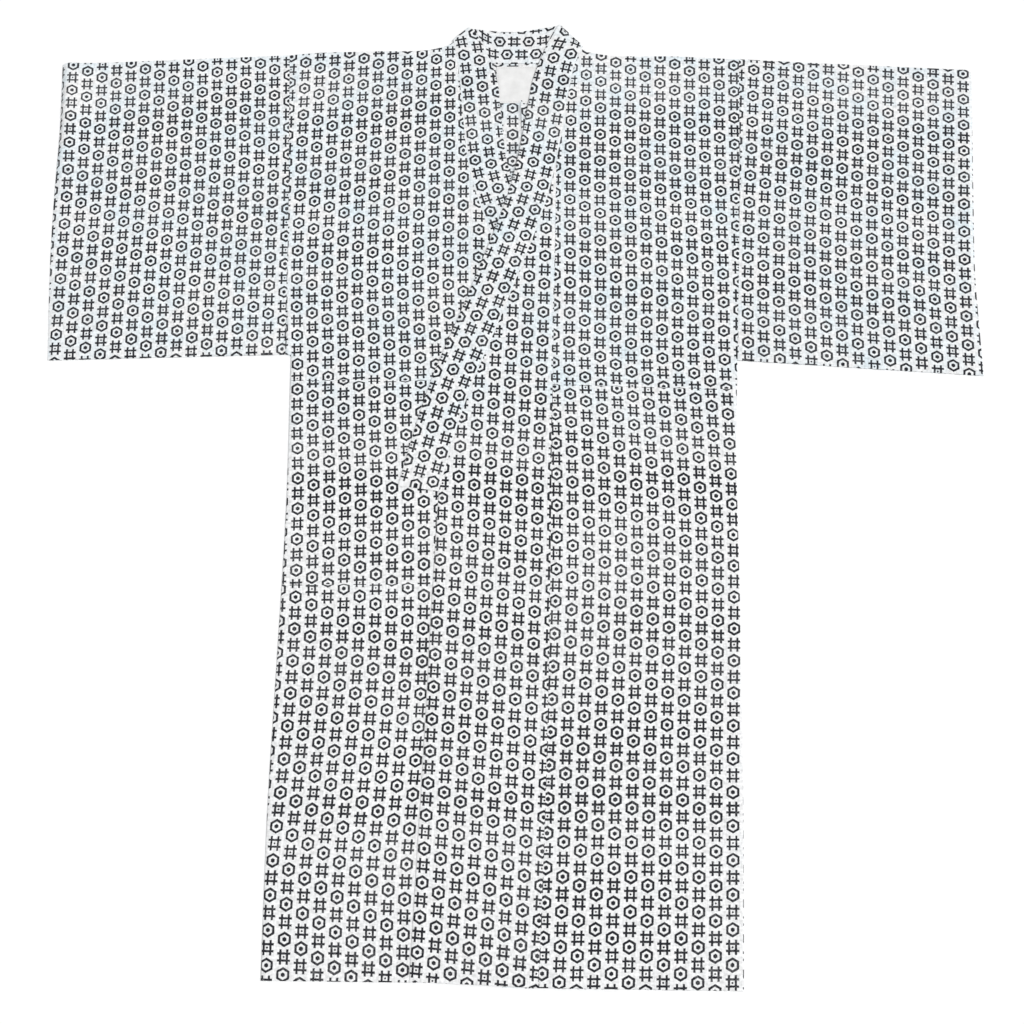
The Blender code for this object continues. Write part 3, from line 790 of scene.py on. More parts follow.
def body_height(half, cloth, x, y):
    """Outer face of a body front: its level with all relief, let down at the side seam and the hem."""
    to_side = np.abs(body_side(half, y) - x)
    top = front_level(half, x, y) + SOLID_CLOTH + shared_relief(cloth, x, y) + body_relief(half, cloth, x, y)
    sewn_side = fall(y - half.armhole[0].y + SIDE_SEAM_OVERLAP, SIDE_SEAM_RUN)
    rest = 2 * cloth.wall + LAYER_SLACK
    down = sewn_side * (1 - rounded(to_side, SIDE_ROLL))
    top = between(top, rest, down)
    hem_share = to_side / (to_side + np.abs(x - body_front_edge(half, y)))
    to_hem = y - between(half.hem.outer, half.hem.inner, hem_share)
    under = (front_level(half, x, y) - right_level(x, y)) + rest + HEM_SLACK
    return between(under, top, rounded(to_hem, HEM_ROLL))


def print_across(columns, points, side):
    """Place across the print, counted from the table's column.

    The cloth's slopes add their own length on both sides of each row's middle. The side is 1 where
    the rows run towards +x, and -1 where they run towards -x.
    """
    x = points[..., 0]
    added = run_across(points) - np.abs(x - x[:, :1])
    added = added - added[:, added.shape[1] // 2, None]
    off_column = (x - smooth_curve(columns.line, points[..., 1])) * PRINT_PITCH / columns.pitch
    return off_column + PRINT_PITCH / 2 + side * added


def folded_grain(columns, front_u, front_v, outer):
    """Grain of a folded length: the front's, then round the fold and straight down the back.

    The back's print is level, so the last step of the turn takes up what differs at the fold.
    """
    rows = len(front_v)
    fold_y = outer[rows - 1, :, 1]
    turned = run_along(outer[rows - 1: rows + TURN_STEPS])
    start = front_v[-1] + turned[-1] + fold_y
    back = outer[rows + TURN_STEPS - 1:]
    back_v = start.mean() - back[..., 1]
    v = np.concatenate([front_v, front_v[-1] + turned[1:-1], back_v])

    off_column = back[..., 0] - smooth_curve(columns.line, fold_y.mean())
    back_u = off_column * PRINT_PITCH / BACK_PRINT_PITCH + PRINT_PITCH / 2
    turned_u = np.broadcast_to(front_u[-1], (TURN_STEPS - 1, len(fold_y)))
    u = np.concatenate([front_u, turned_u, back_u])
    return np.stack([u, v], axis=-1)


def body(half, cloth, material):
    """One length of cloth for half the body: the front, the shoulder and the back."""
    shoulder_ends = half.shoulder[:: int(-half.outward)]
    columns = graded(0, BODY_WIDTH, [0, BODY_WIDTH]) / BODY_WIDTH
    top_y = smooth_curve(half.shoulder, between(shoulder_ends[0].x, shoulder_ends[-1].x, columns))
    bottom_y = between(half.hem.outer, half.hem.inner, columns)
    rows = body_rows(half, top_y[0], top_y[-1])

    front_y = between(bottom_y, top_y, rows[:, None])
    front_x = between(body_side(half, front_y[:, :1]), body_front_edge(half, front_y), columns)
    front_z = body_height(half, cloth, front_x, front_y)
    back_x, back_y = body_back(half, front_x[-1], front_y[-1], columns)
    seam_slope = (front_x[-1, -1] - front_x[-2, -1]) / (front_y[-1, -1] - front_y[-2, -1])
    turn = half_turn(front_x[-1], front_y[-1], front_z[-1] - cloth.wall, seam_slope * columns, 1, cloth.wall)

    back_top = cloth.wall + back_relief(half, cloth, back_x, back_y)
    outer = np.concatenate([raised(front_x, front_y, front_z), turn[1], raised(back_x, back_y, 0.0)])
    inner = [raised(front_x, front_y, front_z - cloth.wall), turn[0], raised(back_x, back_y, back_top)]

    lean = smooth_curve(half.body_lean, front_y) * (front_x - body_side(half, front_y))
    front_v = front_y - lean + tuck_grain(half.tucks, front_x, front_y)
    front_u = print_across(half.body_columns, outer[: len(rows)], -half.outward)
    grain = folded_grain(half.body_columns, front_u, front_v, outer)
    piece = wall(f"body_{half.name}_cloth", outer, np.concatenate(inner), grain, material)
    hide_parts(f"body_{half.name}")
    return piece


def body_back(half, fold_x, fold_y, columns):
    """Plan of the back: rows fan out from the fold along the neckline, then run down to the hem."""
    neck_middle = smooth_curve(CENTRE_BACK, LABEL_TOP) + half.outward * SEAM_GAP
    neck_x = np.linspace(fold_x[-1], neck_middle, NECK_ROWS + 1)
    neck_y = smooth_curve(NECKLINE, neck_x) - 2 * SEAM_GAP
    neck_y[0] = fold_y[-1]
    side_neck = fold_y[0] - NECK_ROW_DROP * np.arange(NECK_ROWS + 1)

    underarm = half.armhole[0].y
    to_underarm = graded(side_neck[-1], underarm, [side_neck[-1]], *BACK_SIDE_GRADING)[1:]
    to_hem = graded(underarm, half.hem.outer, [underarm, half.hem.outer], *BACK_GRADING)[1:]
    side_low = np.concatenate([to_underarm, to_hem])
    share = (side_low - side_neck[-1]) / (half.hem.outer - side_neck[-1])
    middle_low = between(neck_y[-1], half.hem.inner, share)

    side_y = np.concatenate([side_neck, side_low])
    side_x = body_side(half, side_y)
    middle_x = np.concatenate([neck_x, smooth_curve(CENTRE_BACK, middle_low) + half.outward * SEAM_GAP / 2])
    middle_y = np.concatenate([neck_y, middle_low])
    bow = fold_y - between(fold_y[0], fold_y[-1], columns)
    bow_share = fall(np.arange(len(side_y)), NECK_ROWS)[:, None]
    x = between(side_x[:, None], middle_x[:, None], columns)
    y = between(side_y[:, None], middle_y[:, None], columns) + bow * bow_share
    return x, y


def back_relief(half, cloth, x, y):
    """Inner face of the back where the open neck shows it: ripple, the centre seam and one pucker."""
    to_centre = np.abs(x - smooth_curve(CENTRE_BACK, y))
    shown = fall(np.abs(x) - OPEN_HALF_WIDTH, OPEN_SIDE_RUN) * ease((y - OPEN_LOW_END) / OPEN_LOW_RUN)
    allowance = doubled(cloth, to_centre, CENTRE_SEAM_SHARE) * (half.outward < 0)
    pucker = crease_height(x, y, NECK_PUCKER)
    seam = seam_relief(cloth, to_centre, y, CENTRE_SEED)
    return shown * (cloth.ripple * ripple(x, y) + allowance + pucker + seam)


# Okumi and sleeves

def okumi(half, cloth, material):
    """The narrow panel in front of a body length, cut to a point where the collar crosses it."""
    top = okumi_tip(half) - OKUMI_TIP_TRIM
    low = half.okumi_hem.outer
    below_collar = graded(low, COLLAR_END, [low, COLLAR_END])
    heights = np.concatenate([below_collar, graded(COLLAR_END, top, [COLLAR_END])[1:]])
    share = (heights - heights[0]) / (top - heights[0])
    columns = graded(0, OKUMI_WIDTH, [0, OKUMI_WIDTH]) / OKUMI_WIDTH
    hem_slope = (half.okumi_hem.inner - half.okumi_hem.outer) * fall(share, HEM_SLOPE_SHARE)
    y = heights[:, None] + hem_slope[:, None] * columns

    seam_x = smooth_curve(half.okumi_seam, y) - half.outward * SEAM_GAP / 2
    collar_seam_x = smooth_curve(half.collar_seam, y) + half.outward * SEAM_GAP / 2
    free_x = np.where(y < COLLAR_END, smooth_curve(half.front_edge, y), collar_seam_x)
    x = between(seam_x, free_x, columns)
    to_seam = np.abs(x - seam_x)
    to_free = np.abs(x - free_x)
    to_hem = y - y[0]

    relief = seam_relief(cloth, to_seam, y, FRONT_SEED + half.outward) + doubled(cloth, to_seam)
    relief = relief + doubled(cloth, to_hem, HEM_SHARE)
    beside_collar = ease((y - COLLAR_END) / COLLAR_SIDE_RUN)
    relief = relief + beside_collar * seam_relief(cloth, to_free, y, OKUMI_COLLAR_SEED)
    relief = relief + (1 - beside_collar) * doubled(cloth, to_free, FREE_EDGE_SHARE)
    top_z = front_level(half, x, y) + SOLID_CLOTH + shared_relief(cloth, x, y) + relief
    under = (front_level(half, x, y) - right_level(x, y)) + 2 * cloth.wall + OKUMI_SLACK
    free_rise = np.maximum(beside_collar, rounded(to_free, OKUMI_ROLL))
    top_z = between(under, top_z, free_rise * rounded(to_hem, HEM_ROLL))

    outer = raised(x, y, top_z)
    inner = raised(x, y, top_z - cloth.wall)
    v = y - smooth_curve(OKUMI_LEAN, y) * (x - seam_x)
    grain = np.stack([print_across(half.okumi_columns, outer, -half.outward), v], axis=-1)
    piece = wall(f"okumi_{half.name}_cloth", outer, inner, grain, material)
    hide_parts(f"okumi_{half.name}")
    return piece


def sleeve_plan(half, rows, columns):
    bottom = between(half.sleeve_bottom.inner, half.sleeve_bottom.outer, columns)
    top = between(half.sleeve_top.inner, half.sleeve_top.outer, columns)
    y = between(bottom, top, rows[:, None])
    seam_x = smooth_curve(half.armhole, y) + half.outward * SEAM_GAP / 2
    return between(seam_x, smooth_curve(half.cuff, y), columns), y


def sleeve(half, cloth, material):
    """One length of cloth folded along the top of the arm and sewn to the body's side."""
    columns = graded(0, SLEEVE_WIDTH, [0, SLEEVE_WIDTH]) / SLEEVE_WIDTH
    front_rows = graded(0, SLEEVE_LENGTH, [0, SLEEVE_LENGTH]) / SLEEVE_LENGTH
    back_rows = graded(SLEEVE_LENGTH, 0, [0], *BACK_GRADING) / SLEEVE_LENGTH
    x, y = sleeve_plan(half, front_rows, columns)
    back_x, back_y = sleeve_plan(half, back_rows, columns)

    to_seam = np.abs(x - x[:, :1])
    to_cuff = np.abs(x - x[:, -1:])
    to_bottom = y - y[0]
    relief = seam_relief(cloth, to_seam, y, SIDE_SEED + half.outward)
    relief = relief + doubled(cloth, to_seam) + doubled(cloth, to_cuff, FREE_EDGE_SHARE)
    relief = relief + doubled(cloth, to_bottom, FOLDED_EDGE_SHARE)
    relief = relief + seam_relief(cloth, to_bottom, x, SLEEVE_BOTTOM_SEED + half.outward)
    top_z = right_level(x, y) + SOLID_CLOTH + shared_relief(cloth, x, y) + relief
    rest = 2 * cloth.wall + LAYER_SLACK
    top_z = between(rest, top_z, rounded(to_bottom, SIDE_ROLL) * sloped(to_cuff, CUFF_ROLL))

    turn = half_turn(x[-1], y[-1], top_z[-1] - cloth.wall, 0, 1, cloth.wall)
    outer = np.concatenate([raised(x, y, top_z), turn[1], raised(back_x, back_y, 0.0)])
    inner = [raised(x, y, top_z - cloth.wall), turn[0], raised(back_x, back_y, cloth.wall)]
    u = print_across(half.sleeve_columns, outer[: len(front_rows)], half.outward)
    v = y - smooth_curve(half.sleeve_lean, y) * (x - x[:, :1])
    grain = folded_grain(half.sleeve_columns, u, v, outer)
    piece = wall(f"sleeve_{half.name}_cloth", outer, np.concatenate(inner), grain, material)
    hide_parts(f"sleeve_{half.name}")
    return piece


# Collar and label

def collar_section(cloth, across_share):
    """Top and underside of the band across its width, over and under the solid's underside.

    The seam side rises gently from the body's own height, the middle is a low crown, and the free
    edge is a round fold.
    """
    to_seam = across_share * COLLAR_WIDTH
    to_free = (1 - across_share) * COLLAR_WIDTH
    crown = COLLAR_CROWN * np.sin(np.pi * across_share)
    top = between(SOLID_CLOTH, COLLAR_TOP + crown, ease(to_seam / COLLAR_RISE))
    middle = COLLAR_TOP / 2
    roll = rounded(to_free, COLLAR_ROLL)
    top = between(middle + HALF_EDGE, top, roll)
    under = between(middle - HALF_EDGE, COLLAR_LIFT, roll)
    return top, under


def collar_arm(half, cloth, across):
    """Faces and grain of one front stretch of the collar, from its blunt end up to its corner fold.

    The grain is the distance from the seam, and the run along the seam.
    """
    y = graded(COLLAR_END, half.corner.seam.y, [COLLAR_END])
    step = 0.001
    seam = half.collar_seam
    slope = (smooth_curve(seam, y + step) - smooth_curve(seam, y - step)) / (2 * step)
    length = np.hypot(1, slope)
    seam_x = smooth_curve(half.collar_seam, y) - half.outward * SEAM_GAP / 2
    normal = np.stack([-half.outward / length, half.outward * slope / length], axis=-1)
    tangent = np.stack([slope / length, 1 / length], axis=-1)
    free = np.stack([seam_x, y], axis=-1) + COLLAR_WIDTH * normal

    turning = ease((y - CORNER_START) / (half.corner.seam.y - CORNER_START))
    free_x = between(free[:, 0], half.corner.free.x, turning)
    free_y = between(free[:, 1], half.corner.free.y, turning)
    plan_x = between(seam_x[:, None], free_x[:, None], across)
    plan_y = between(y[:, None], free_y[:, None], across)
    top, under = collar_section(cloth, across)
    level = front_level(half, plan_x, plan_y) + shared_relief(cloth, plan_x, plan_y)
    to_seam = across * COLLAR_WIDTH
    pucker = seam_relief(cloth, to_seam + COLLAR_PUCKER_SHIFT, y[:, None], COLLAR_SEED)
    top = top + level + COLLAR_PUCKER_SHARE * pucker
    end = rounded(y - COLLAR_END, COLLAR_ROLL)[:, None]
    top = between(level + COLLAR_TOP / 2 + HALF_EDGE, top, end)
    under = between(level + COLLAR_TOP / 2 - HALF_EDGE, under + level, end)

    offset = np.stack([plan_x - seam_x[:, None], plan_y - y[:, None]], axis=-1)
    run = np.concatenate([[0], np.cumsum(np.hypot(np.diff(seam_x), np.diff(y)))])
    u = (offset * normal[:, None]).sum(axis=-1)
    v = run[:, None] + (offset * tangent[:, None]).sum(axis=-1)
    return raised(plan_x, plan_y, top), raised(plan_x, plan_y, under), np.stack([u, v], axis=-1)


def collar_corner(half, outer_edge, inner_edge, grain_edge):
    """Faces and grain of the half turn at a corner, from the front stretch down to the back one.

    Each column turns on a half circle between the arm's last points and the back stretch, which has
    the same section upside down.
    """
    corner = half.corner
    run_x = corner.free.x - corner.seam.x
    run_y = corner.free.y - corner.seam.y
    length = np.hypot(run_x, run_y)
    out_x = -run_y / length * np.sign(run_x)
    out_y = abs(run_x) / length
    angles = np.linspace(0, np.pi, TURN_STEPS + 1)[1:-1, None]
    top = outer_edge[:, 2]
    under = inner_edge[:, 2]
    low_top, low_under = back_section(top, under)
    faces = []
    for high, low in ((top, low_under), (under, low_top)):
        centre = (high + low) / 2
        radius = (high - low) / 2
        reach = radius * np.sin(angles)
        x = outer_edge[:, 0] + out_x * reach
        y = outer_edge[:, 1] + out_y * reach
        faces.append(raised(x, y, centre + radius * np.cos(angles)))
    turned = (top - low_under) / 2 * angles
    grain = grain_edge[None] + np.stack([np.zeros_like(turned), turned], axis=-1)
    return faces[0], faces[1], grain


def back_section(top, under):
    """Top and underside of the back stretch, which keeps the arm's thickness and lies on the surface."""
    thickness = top - under
    lift = (thickness.max() - thickness) / 2
    return lift + thickness, lift


def collar_back(right, left, across, top, under):
    """Faces and grain of the stretch behind the neck."""
    share = np.linspace(0, 1, NECK_STEPS + 1)
    seam_x = between(right.corner.seam.x, left.corner.seam.x, share)
    free_x = between(right.corner.free.x, left.corner.free.x, share)
    seam_y = smooth_curve(NECKLINE, seam_x)
    free_y = smooth_curve(COLLAR_BACK_EDGE, free_x)
    x = between(seam_x[:, None], free_x[:, None], across)
    y = between(seam_y[:, None], free_y[:, None], across)
    low_top, low_under = back_section(top, under)
    shown = raised(x, y, np.broadcast_to(low_top, x.shape))
    hidden = raised(x, y, np.broadcast_to(low_under, x.shape))
    clear_of_corners = ease(share / COLLAR_CORNER_SHARE) * ease((1 - share) / COLLAR_CORNER_SHARE)
    u = run_across(shown) - COLLAR_BACK_SHIFT * clear_of_corners[:, None]
    grain = np.stack([u, x + 2 * COLLAR_WIDTH], axis=-1)
    return hidden, shown, grain


def collar(left, right, cloth, material):
    """The collar: one folded band up the right front, round the neck and down the left front."""
    marks = [0, COLLAR_WIDTH]
    across = graded(0, COLLAR_WIDTH, marks, *COLLAR_GRADING) / COLLAR_WIDTH
    arms = [collar_arm(half, cloth, across) for half in (right, left)]
    corners = []
    for half, arm in zip((right, left), arms):
        corners.append(collar_corner(half, arm[0][-1], arm[1][-1], arm[2][-1]))
    back = collar_back(right, left, across, arms[0][0][-1, :, 2], arms[0][1][-1, :, 2])
    pieces = []
    for part in range(3):
        run = [arms[0][part], corners[0][part], back[part], corners[1][part][::-1], arms[1][part][::-1]]
        pieces.append(np.concatenate(run))
    piece = wall("collar_cloth", pieces[0], pieces[1], pieces[2], material, wrong_inner=0.0)
    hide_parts("collar")
    return piece


def label_height(cloth, x, y):
    """Top of the label over the surface: flat on the back, a little raised inside its stitching."""
    to_side = LABEL_WIDTH / 2 - np.abs(x - LABEL_CENTRE)
    to_end = np.minimum(y - LABEL_BOTTOM, LABEL_TOP - y)
    to_edge = np.minimum(to_side, to_end)
    base = 2 * cloth.wall + LABEL_LIFT
    wave = np.sin((x - LABEL_CENTRE) / LABEL_WAVE[0])
    sag = LABEL_SAG * wave * np.sin((y - LABEL_BOTTOM) / LABEL_WAVE[1])
    return base + (LABEL_CROWN + sag) * ease(to_edge / LABEL_CROWN_RUN)


def neck_label(cloth, material):
    """The blank cloth patch sewn inside the back, just below the collar."""
    x = LABEL_CENTRE - LABEL_WIDTH / 2 + graded(0, LABEL_WIDTH, [0, LABEL_WIDTH], *LABEL_GRADING)
    y = graded(LABEL_BOTTOM, LABEL_TOP, [LABEL_BOTTOM, LABEL_TOP], *LABEL_GRADING)
    x, y = np.meshgrid(x, y)
    top = label_height(cloth, x, y)
    grain = np.stack([x, y], axis=-1)
    piece = wall("neck_label_cloth", raised(x, y, top), raised(x, y, top - LABEL_CLOTH), grain, material)
    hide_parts("neck_label")
    return piece


def stitches(name, centres, directions, length, radius, lift, material):
    """Short threads, each a bowed tube with pointed ends lying along its own direction.

    Along each stitch the radius is a half ellipse and the height a half sine wave.
    """
    share = np.linspace(-1, 1, STITCH_RINGS)
    angles = np.linspace(0, 2 * np.pi, STITCH_SIDES + 1)[:-1]
    centres = np.asarray(centres, dtype=float)
    directions = np.asarray(directions, dtype=float)
    aside = np.stack([-directions[:, 1], directions[:, 0], np.zeros(len(directions))], axis=-1)
    size = radius * np.sqrt(np.clip(1 - share**2, STITCH_POINT, 1))
    spine = centres[:, None] + directions[:, None] * (share * length / 2)[None, :, None]
    spine[:, :, 2] = spine[:, :, 2] + lift * np.cos(share * np.pi / 2)
    ring_out = (size[:, None] * np.cos(angles))[None, :, :, None] * aside[:, None, None, :]
    ring_up = (size[:, None] * np.sin(angles))[None, :, :, None] * np.array([0, 0, 1.0])
    points = spine[:, :, None] + ring_out + ring_up

    count, rings, sides = points.shape[:3]
    number = np.arange(count * rings * sides).reshape(count, rings, sides)
    ahead = np.roll(number, -1, axis=2)
    strips = [number[:, :-1], ahead[:, :-1], ahead[:, 1:], number[:, 1:]]
    faces = np.stack(strips, axis=-1).reshape(-1, 4).tolist()
    faces = faces + number[:, 0, ::-1].tolist() + number[:, -1].tolist()
    piece = new_object(name, closed_mesh(name, points, faces, material))
    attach(piece, "root")
    return piece


def label_stitches(cloth, material):
    """Small uneven stitches round the label, a little inside its edge."""
    chance = np.random.default_rng(STITCH_SEED)
    left = LABEL_CENTRE - LABEL_WIDTH / 2 + STITCH_MARGIN
    right = LABEL_CENTRE + LABEL_WIDTH / 2 - STITCH_MARGIN
    low = LABEL_BOTTOM + STITCH_MARGIN
    high = LABEL_TOP - STITCH_MARGIN
    corners = np.array([[left, low], [left, high], [right, high], [right, low]])
    centres = []
    directions = []
    for start, end in zip(corners, np.roll(corners, -1, axis=0)):
        run = end - start
        length = np.hypot(*run)
        count = int(length / STITCH_SPACING)
        drift = chance.uniform(-STITCH_DRIFT, STITCH_DRIFT, count)
        share = (np.arange(count) + 0.5 + drift) / count
        spots = start + run * share[:, None] + chance.uniform(-STITCH_SCATTER, STITCH_SCATTER, (count, 2))
        turn = np.arctan2(run[1], run[0]) + chance.uniform(-STITCH_TURN, STITCH_TURN, count)
        centres.append(raised(spots[:, 0], spots[:, 1], label_height(cloth, spots[:, 0], spots[:, 1])))
        directions.append(np.stack([np.cos(turn), np.sin(turn), np.zeros(count)], axis=-1))
    return stitches(
        "label_stitches",
        np.concatenate(centres),
        np.concatenate(directions),
        length=0.0026,
        radius=0.00022,
        lift=0.00018,
        material=material,
    )


# Materials

class Term:
    """A number worked out in a node tree: sums and products of terms and numbers add Math nodes."""

    def __init__(self, tree, socket):
        self.tree = tree
        self.socket = socket

    def __add__(self, other):
        return math_node("ADD", self, other)

    def __sub__(self, other):
        return math_node("SUBTRACT", self, other)

    def __rsub__(self, other):
        return math_node("SUBTRACT", other, self)

    def __mul__(self, other):
        return math_node("MULTIPLY", self, other)

    def __truediv__(self, other):
        return math_node("DIVIDE", self, other)

    def __rtruediv__(self, other):
        return math_node("DIVIDE", other, self)


def feed(tree, socket, value):
    """Sets a socket to a number or colour, or links a term or another socket to it."""
    if isinstance(value, Term):
        value = value.socket
    if isinstance(value, bpy.types.NodeSocket):
        tree.links.new(value, socket)
    else:
        socket.default_value = value


def math_node(operation, *values):
    """The result of one Math node on terms and numbers."""
    tree = next(value.tree for value in values if isinstance(value, Term))
    node = tree.nodes.new("ShaderNodeMath")
    node.operation = operation
    for socket, value in zip(node.inputs, values):
        feed(tree, socket, value)
    return Term(tree, node.outputs[0])


def size_of(value):
    return math_node("ABSOLUTE", value)


def smaller(first, second):
    return math_node("MINIMUM", first, second)


def larger(first, second):
    return math_node("MAXIMUM", first, second)


def plan(tree, vector):
    """A vector's x and y."""
    split = tree.nodes.new("ShaderNodeSeparateXYZ")
    tree.links.new(vector, split.inputs[0])
    return Term(tree, split.outputs["X"]), Term(tree, split.outputs["Y"])


def new_group(name, inputs, outputs):
    """An empty node group with named number, vector and colour sockets."""
    group = bpy.data.node_groups.new(name, "ShaderNodeTree")
    for socket_name, kind, default in inputs:
        socket = group.interface.new_socket(socket_name, in_out="INPUT", socket_type=f"NodeSocket{kind}")
        if default is not None:
            socket.default_value = default
    for socket_name, kind in outputs:
        group.interface.new_socket(socket_name, in_out="OUTPUT", socket_type=f"NodeSocket{kind}")
    given = group.nodes.new("NodeGroupInput")
    result = group.nodes.new("NodeGroupOutput")
    return group, given.outputs, result.inputs


def noise(tree, vector, scale, detail=2.0):
    """A noise texture's value, about 0.5."""
    node = tree.nodes.new("ShaderNodeTexNoise")
    for name, value in (("Scale", scale), ("Detail", detail), ("Vector", vector)):
        feed(tree, node.inputs[name], value)
    return Term(tree, node.outputs["Fac"])


def stretched_noise(tree, vector, across, along):
    """A noise with its own scale across the grain and along it."""
    node = tree.nodes.new("ShaderNodeVectorMath")
    node.operation = "MULTIPLY"
    node.inputs[1].default_value = (across, along, 1.0)
    tree.links.new(vector, node.inputs[0])
    return noise(tree, node.outputs["Vector"], 1.0)


def repeat_group():
    """Close repeat: ink from 0 to 1, of hexagon rings and crossed bars set in a half-drop.

    Each column of squares is half a square lower than the one before. A ring is where the hexagon's
    distance is near its size, and a bar is where the distances to its middle and its end are small.
    """
    inputs = [
        ("Vector", "Vector", None),
        ("Pitch", "Float", PRINT_PITCH),
        ("Hexagon", "Float", HEXAGON),
        ("Crib", "Float", CRIB),
        ("Line", "Float", PRINT_LINE),
    ]
    group, given, result = new_group("Close repeat", inputs, [("Ink", "Float")])
    grain = given["Vector"]
    pitch, hexagon_size, crib, line = [Term(group, given[name]) for name, *_ in inputs[1:]]
    across, along = plan(group, grain)

    column = math_node("FLOOR", across / pitch)
    lowered = along + math_node("FLOORED_MODULO", column, 2.0) * (pitch * 0.5)
    row = math_node("FLOOR", lowered / pitch)
    x = size_of(across - (column + 0.5) * pitch)
    y = size_of(lowered - (row + 0.5) * pitch)
    kind = math_node("FLOORED_MODULO", row + math_node("FLOOR", column * 0.5), 2.0)
    half_line = line * 0.5

    hexagon = larger(x, x * 0.5 + y * HEXAGON_SLOPE)
    ring = size_of(hexagon - hexagon_size) - half_line
    heart = hexagon - hexagon_size * HEART_SHARE
    hexagon_edge = smaller(ring, heart)

    thin = half_line * BAR_SHARE
    across_bar = larger(size_of(y - crib) - thin, x - crib * ACROSS_BAR_REACH)
    upright_bar = larger(size_of(x - crib) - thin, y - crib * UPRIGHT_BAR_REACH)
    dot = math_node("SQRT", x * x + y * y) - crib * DOT_SHARE
    crib_edge = smaller(smaller(across_bar, upright_bar), dot)

    edge = hexagon_edge + kind * (crib_edge - hexagon_edge)
    bleed = (noise(group, grain, 420.0) - 0.5) * INK_BLEED
    weight = (stretched_noise(group, grain, 2.5, 14.0) - 0.5) * LINE_UNEVENNESS
    ink = 0.5 - (edge + bleed - weight) / INK_SOFTNESS
    clipped = group.nodes.new("ShaderNodeClamp")
    feed(group, clipped.inputs["Value"], ink)
    feed(group, result["Ink"], clipped.outputs[0])
    return group


def weave_group():
    """Plain weave: threads over and under, as a product of two sine waves, with uneven yarn."""
    inputs = [("Vector", "Vector", None), ("Thread", "Float", PRINTED_THREAD), ("Slub", "Float", 0.5)]
    group, given, result = new_group("Plain weave", inputs, [("Height", "Float")])
    grain = given["Vector"]
    x, y = plan(group, grain)
    turn = 2 * np.pi / (Term(group, given["Thread"]) * 2.0)
    crossing = math_node("SINE", x * turn) * math_node("SINE", y * turn)
    long_yarn = stretched_noise(group, grain, 90.0, 900.0)
    cross_yarn = stretched_noise(group, grain, 900.0, 90.0)
    yarn = long_yarn + cross_yarn - 1.0
    feed(group, result["Height"], crossing * 0.25 + yarn * Term(group, given["Slub"]) + 0.5)
    return group


def tone_group():
    """Cloth tone: the ground's colour, unevenly light along the yarns, and how strong the ink lies.

    Faintly cooler patches come in over a hand's breadth above the given height.
    """
    inputs = [
        ("Vector", "Vector", None),
        ("Ground", "Color", (0.9, 0.9, 0.9, 1)),
        ("Cool", "Color", (0.8, 0.85, 0.9, 1)),
        ("Cool from", "Float", 0.0),
    ]
    group, given, result = new_group("Cloth tone", inputs, [("Colour", "Color"), ("Ink strength", "Float")])
    grain = given["Vector"]
    height = plan(group, grain)[1]
    above = (height - Term(group, given["Cool from"])) / COOL_RUN
    above = smaller(larger(above, COOL_LEAST), 1.0)
    patches = noise(group, grain, 14.0, 1.0) + noise(group, grain, 48.0, 1.0)
    cool = (patches - COOL_THRESHOLD) * COOL_GAIN * above
    tinted = mixed(group, cool, given["Ground"], given["Cool"])

    yarns = stretched_noise(group, grain, 320.0, 120.0) + stretched_noise(group, grain, 120.0, 320.0)
    light = smaller(GROUND_LIGHT - yarns * YARN_DEPTH, GROUND_LIGHT_MOST)
    shaded = group.nodes.new("ShaderNodeVectorMath")
    shaded.operation = "SCALE"
    feed(group, shaded.inputs[0], tinted)
    feed(group, shaded.inputs["Scale"], light)
    feed(group, result["Colour"], shaded.outputs["Vector"])

    grainy = noise(group, grain, 260.0, 3.0) * INK_GRAIN
    broad = stretched_noise(group, grain, 3.0, 9.0) * INK_BROAD
    feed(group, result["Ink strength"], smaller(grainy + broad + INK_BASE, 1.0))
    return group


def placed(tree, name, make, **values):
    """A node group in a tree, made the first time it is asked for, with its named values set."""
    node = tree.nodes.new("ShaderNodeGroup")
    node.node_tree = bpy.data.node_groups.get(name) or make()
    for input_name, value in values.items():
        feed(tree, node.inputs[input_name], value)
    return node.outputs


def new_material(name, roughness):
    """A material with its tree and its Principled shader's inputs."""
    material = bpy.data.materials.new(name)
    material.use_nodes = True
    shader = material.node_tree.nodes["Principled BSDF"].inputs
    shader["Roughness"].default_value = roughness
    return material, material.node_tree, shader


def cotton_material(name):
    """A matt cotton with a soft sheen, and the vector of the cloth's own grain."""
    material, tree, shader = new_material(name, 0.9)
    shader["Specular IOR Level"].default_value = 0.25
    shader["Sheen Weight"].default_value = 0.12
    shader["Sheen Roughness"].default_value = 0.5
    uv = tree.nodes.new("ShaderNodeUVMap")
    uv.uv_map = "Grain"
    return material, tree, shader, uv.outputs["UV"]


def bumped(tree, shader, height, distance, strength):
    """Feeds a height to the shader's normal."""
    bump = tree.nodes.new("ShaderNodeBump")
    for name, value in (("Distance", distance), ("Strength", strength), ("Height", height)):
        feed(tree, bump.inputs[name], value)
    feed(tree, shader["Normal"], bump.outputs["Normal"])


def mixed(tree, factor, first, second):
    """A colour between two, which are sockets or colours."""
    mix = tree.nodes.new("ShaderNodeMix")
    mix.data_type = "RGBA"
    for socket, value in zip((mix.inputs["Factor"], mix.inputs[6], mix.inputs[7]), (factor, first, second)):
        feed(tree, socket, value)
    return mix.outputs[2]


def darkened(colour, share):
    return tuple(channel * share for channel in colour[:3]) + (1.0,)


